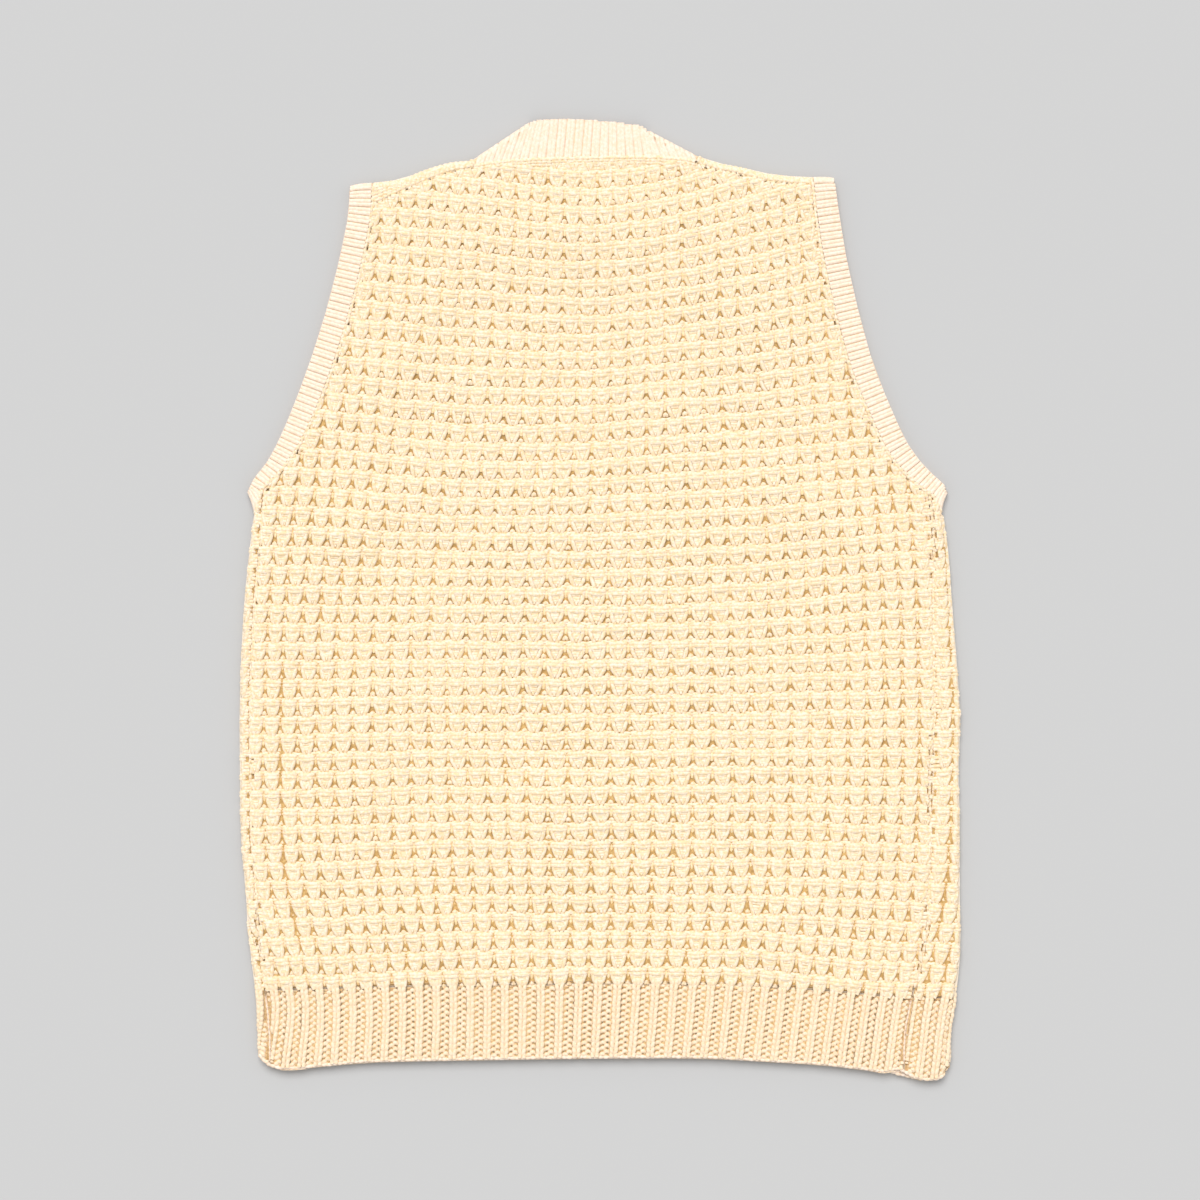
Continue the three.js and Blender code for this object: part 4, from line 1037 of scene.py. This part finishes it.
# Radius of each chain and its height above its line
CHAINS = {
    "shoulder_row": (1.5, 0.35),
    "side": (1.35, -0.4),
    "hem_side": (1.0, -1.5),
    "armhole": (1.35, 0.6),
    "shoulder": (1.3, -0.2),
    "underarm": (1.5, 0.0),
    "neck_corner": (1.3, -0.4),
    "hem_edge": (1.3, 0.0),
    "front_rim": (1.4, 0.0),
}
NECK_CHAINS = ((-0.5, 1.2), (1.3, 1.0), (3.2, 0.7))  # how far below the neck's seam, and how high
NECK_CHAIN_RADIUS = 1.5
SIDE_SEAM_UP = (-268, 58)
HEM_SEAM_UP = (-319, -272)
UNDERARM_UP = (50, 84)
HEM_EDGE = (-235, 238.5)
ARM_SEAM_RUNS = ((0.004, 0.06, 12), (0.065, 0.996, 90))  # from, to and points, at the underarm and above it
ARM_SEAM_PLACE = (-0.03, -1.3)  # share of the band's width, and height over the band's outer face
NECK_CORNER_TURN = (1.57, -0.6, 12)

# The front hem's lower edge where it shows below the back hem, near the lower right corner
FRONT_RIM = {
    "across": [190, 196, 202, 209, 214, 219],
    "up": [-325, -326.2, -327.8, -329.6, -331, -332],
    "height": 3.2,
    "insets": (1.2, 3.4),
}


def chain(yarn, line, radius, lift):
    """A row of seam stitches along a line of points with normals."""
    points, normals = np.array([p for p, _ in line], float), np.array([n for _, n in line], float)
    run = np.concatenate([[0], np.cumsum(np.linalg.norm(np.diff(points, axis=0), axis=1))])
    steps = np.arange(0, run[-1], CHAIN_STEP)
    centres = np.stack([np.interp(steps, run, points[:, k]) for k in range(3)], -1)
    above = unit(np.stack([np.interp(steps, run, normals[:, k]) for k in range(3)], -1))
    swell = np.abs(np.sin(math.pi * np.arange(len(steps)) / CHAIN_STITCH))
    aside = unit(np.cross(np.gradient(centres, axis=0), above))
    centres = centres + above * (lift + CHAIN_RISE * swell[:, None])
    centres = centres + aside * uneven("seam_aside", steps, steps)[:, None]
    yarn.add(centres[None], above[None], (radius * (CHAIN_THIN + CHAIN_SWELL * swell))[None])


def flat_line(xs, ys):
    """A line on the ground of the upper layer."""
    up = np.array([0, 0, 1.0])
    return [(np.array([x, y, TOP - YARN_DROP + float(rise_at(x, y))]), up) for x, y in zip(xs, ys)]


def shoulder_rows():
    """Fine rows of stitches over the shoulder strips of the front."""
    yarn = Yarn()
    for side, count in SHOULDER_ROWS.items():
        for row in range(count):
            chain(yarn, shoulder_line(side, (row + 0.5) / count), *CHAINS["shoulder_row"])
    return yarn.piece("shoulder_stitches", waffle_yarn, "waffle_knit")


def side_chains(yarn, ribs, side):
    """Chains that close the seams of one side, from the hem to the neck."""
    ups = np.arange(*SIDE_SEAM_UP, SEAM_STEP)
    chain(yarn, flat_line(side_seam(side, ups), ups), *CHAINS["side"])
    ups = np.arange(*HEM_SEAM_UP, SEAM_STEP)
    chain(ribs, flat_line(side_seam(side, ups), ups), *CHAINS["hem_side"])
    alongs = np.concatenate([np.linspace(*run) for run in ARM_SEAM_RUNS])
    chain(yarn, [arm_point(side, along, *ARM_SEAM_PLACE) for along in alongs], *CHAINS["armhole"])
    xs = np.linspace(float(ARM_SEAMS[side]["across"][-1]), NECK_CORNERS[side]["seam"][0], 30)
    chain(yarn, flat_line(xs, back_top_at(xs)), *CHAINS["shoulder"])
    ups = np.arange(*UNDERARM_UP, SEAM_STEP)
    chain(yarn, flat_line(back_boundary(side, ups), ups), *CHAINS["underarm"])
    angles = np.linspace(*NECK_CORNER_TURN)
    chain(yarn, [neck_fold(side, angle, 0.0, 0.0) for angle in angles], *CHAINS["neck_corner"])


def seam_chains():
    """Chains that close all seams, and those along the hem's free edges."""
    yarn, ribs = Yarn(), Yarn()
    for side in SIDES:
        side_chains(yarn, ribs, side)
    xs = np.arange(*[NECK_CORNERS[side]["seam"][0] for side in SIDES], SEAM_STEP)
    for down, lift in NECK_CHAINS:
        chain(yarn, flat_line(xs, back_top_at(xs) - down), NECK_CHAIN_RADIUS, lift)
    xs = np.arange(*HEM_EDGE, 2.0)
    chain(ribs, flat_line(xs, hem_at("back", xs) + 1.5), *CHAINS["hem_edge"])
    for inset in FRONT_RIM["insets"]:
        rim = zip(FRONT_RIM["across"], FRONT_RIM["up"])
        line = [(np.array([x, y + inset, FRONT_RIM["height"]]), np.array([0, 0, 1.0])) for x, y in rim]
        chain(ribs, line, *CHAINS["front_rim"])
    return [yarn.piece("seam_stitches", waffle_yarn, "waffle_knit"),
            ribs.piece("hem_seam_stitches", rib_yarn, "rib_knit")]


seams = seam_chains()
side_yarn.append(shoulder_rows())

SIDE_FACING = 0.45  # faces whose normal rises less than this take the pair's second material, yarn; the others take the painted shade ground
UNDER_FACING = -0.35  # points whose normal rises less than this lie on an underside
OUTER_FOOT = 0.3  # outer points lie higher than this share of half the vest's thickness
INNER_REACH = 0.6  # points this near to the inside of the lower layer stay where they are
FRONT_DROP = 1.4
FRONT_HEM_DROP = 1.5
BACK_HEM_DROP = 1.6
BAND_DROP = 0.7


def ground(node, materials, drop):
    """The cloth below the yarn: the solid's own form, with its upper face sunk by drop. Its upper faces take
    the first material, a painted shade colour that shows through the yarn's holes and gaps.

    The second material is for sides and undersides.
    """
    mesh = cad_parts[node].data.copy()
    mesh.name = node + "_cloth"
    mesh.materials.clear()
    for material in materials:
        mesh.materials.append(material)
    facing = np.empty(len(mesh.polygons) * 3)
    mesh.polygons.foreach_get("normal", facing)
    mesh.polygons.foreach_set("material_index", (facing[2::3] < SIDE_FACING).astype(np.int32))
    count = len(mesh.vertices)
    places, normals = np.empty(count * 3), np.empty(count * 3)
    mesh.vertices.foreach_get("co", places)
    mesh.vertices.foreach_get("normal", normals)
    places, normals = places.reshape(-1, 3), normals.reshape(-1, 3)
    outer = (places[:, 2] > TOP / 2 * MM * OUTER_FOOT) & (normals[:, 2] > UNDER_FACING)
    inside = abs(places[:, 2] - PANEL_WALL * MM) < INNER_REACH * MM
    places = places - (outer & ~inside)[:, None] * normals * drop * MM
    mesh.vertices.foreach_set("co", places.ravel())
    mesh.polygons.foreach_set("use_smooth", np.ones(len(mesh.polygons), dtype=bool))
    mesh.update()
    piece = bpy.data.objects.new(node + "_cloth", mesh)
    bpy.context.scene.collection.objects.link(piece)
    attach(piece, "root")
    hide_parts(node)
    return piece


# Pairs of materials: the painted shade ground for upper faces, then yarn for sides and undersides
waffle_pair, hem_pair, rib_pair = (waffle_shade_ground, waffle_pit_shade), (hem_shade_ground, hem_yarn), (rib_shade_ground, rib_yarn)
front = ground("front_panel", waffle_pair, FRONT_DROP)
front_hem = ground("front_hem_rib", hem_pair, FRONT_HEM_DROP)
ground("back_panel", waffle_pair, YARN_DROP)
ground("back_hem_rib", hem_pair, BACK_HEM_DROP)
ground("left_armhole_band", rib_pair, BAND_DROP)
ground("right_armhole_band", rib_pair, BAND_DROP)
ground("neckband", rib_pair, BAND_DROP)

# The surface that the vest lies on, the light and the camera, in metres and degrees
FLOOR_GREY = (0.502, 0.508, 0.519)
FLOOR_REACH = 3.0
FLOOR_DROP = 0.0002
FLOOR_POINTS = 9
SUN = {"tilt": 34, "turn": 10, "spread": 40, "strength": 2.3, "colour": (1.0, 0.985, 0.96)}
SKY_COLOUR = (1.0, 0.99, 0.97)
SKY_STRENGTH = 0.72
VIEW_WIDTH = 0.828
LENS = 100
SENSOR = 36


def lay_floor():
    """A plain level surface, a little below the vest so that the two don't share a face."""
    material, shader = matt_material("floor_grey", 0.1)
    shader.inputs["Base Color"].default_value = (*FLOOR_GREY, 1)
    steps = np.linspace(-FLOOR_REACH, FLOOR_REACH, FLOOR_POINTS)
    points = np.array([[x, y, -FLOOR_DROP] for y in steps for x in steps]) / MM - SHIFT
    quads = grid_quads(np.arange(FLOOR_POINTS ** 2).reshape(FLOOR_POINTS, FLOOR_POINTS)).reshape(-1, 4)
    mesh_object("floor", points, quads, material)


def light_scene():
    """A wide sun, tilted from overhead toward the picture's top and then turned, and a pale sky."""
    data = bpy.data.lights.new("key", "SUN")
    data.energy = SUN["strength"]
    data.angle = math.radians(SUN["spread"])
    data.color = SUN["colour"]
    light = bpy.data.objects.new("key", data)
    light.rotation_euler = (math.radians(-SUN["tilt"]), 0, math.radians(SUN["turn"]))
    bpy.context.scene.collection.objects.link(light)
    world = bpy.data.worlds.new("studio")
    world.use_nodes = True
    world.node_tree.nodes["Background"].inputs["Color"].default_value = (*SKY_COLOUR, 1)
    world.node_tree.nodes["Background"].inputs["Strength"].default_value = SKY_STRENGTH
    bpy.context.scene.world = world
    bpy.context.scene.view_settings.view_transform = "Standard"


def place_camera():
    """Straight above the vest, as in the photo."""
    data = bpy.data.cameras.new("photo_camera")
    data.lens = LENS
    data.sensor_width = SENSOR
    camera = bpy.data.objects.new("photo_camera", data)
    camera.location = (0.0, 0.0, VIEW_WIDTH * LENS / SENSOR + TOP * MM)
    bpy.context.scene.collection.objects.link(camera)
    bpy.context.scene.camera = camera


lay_floor()
light_scene()
place_camera()
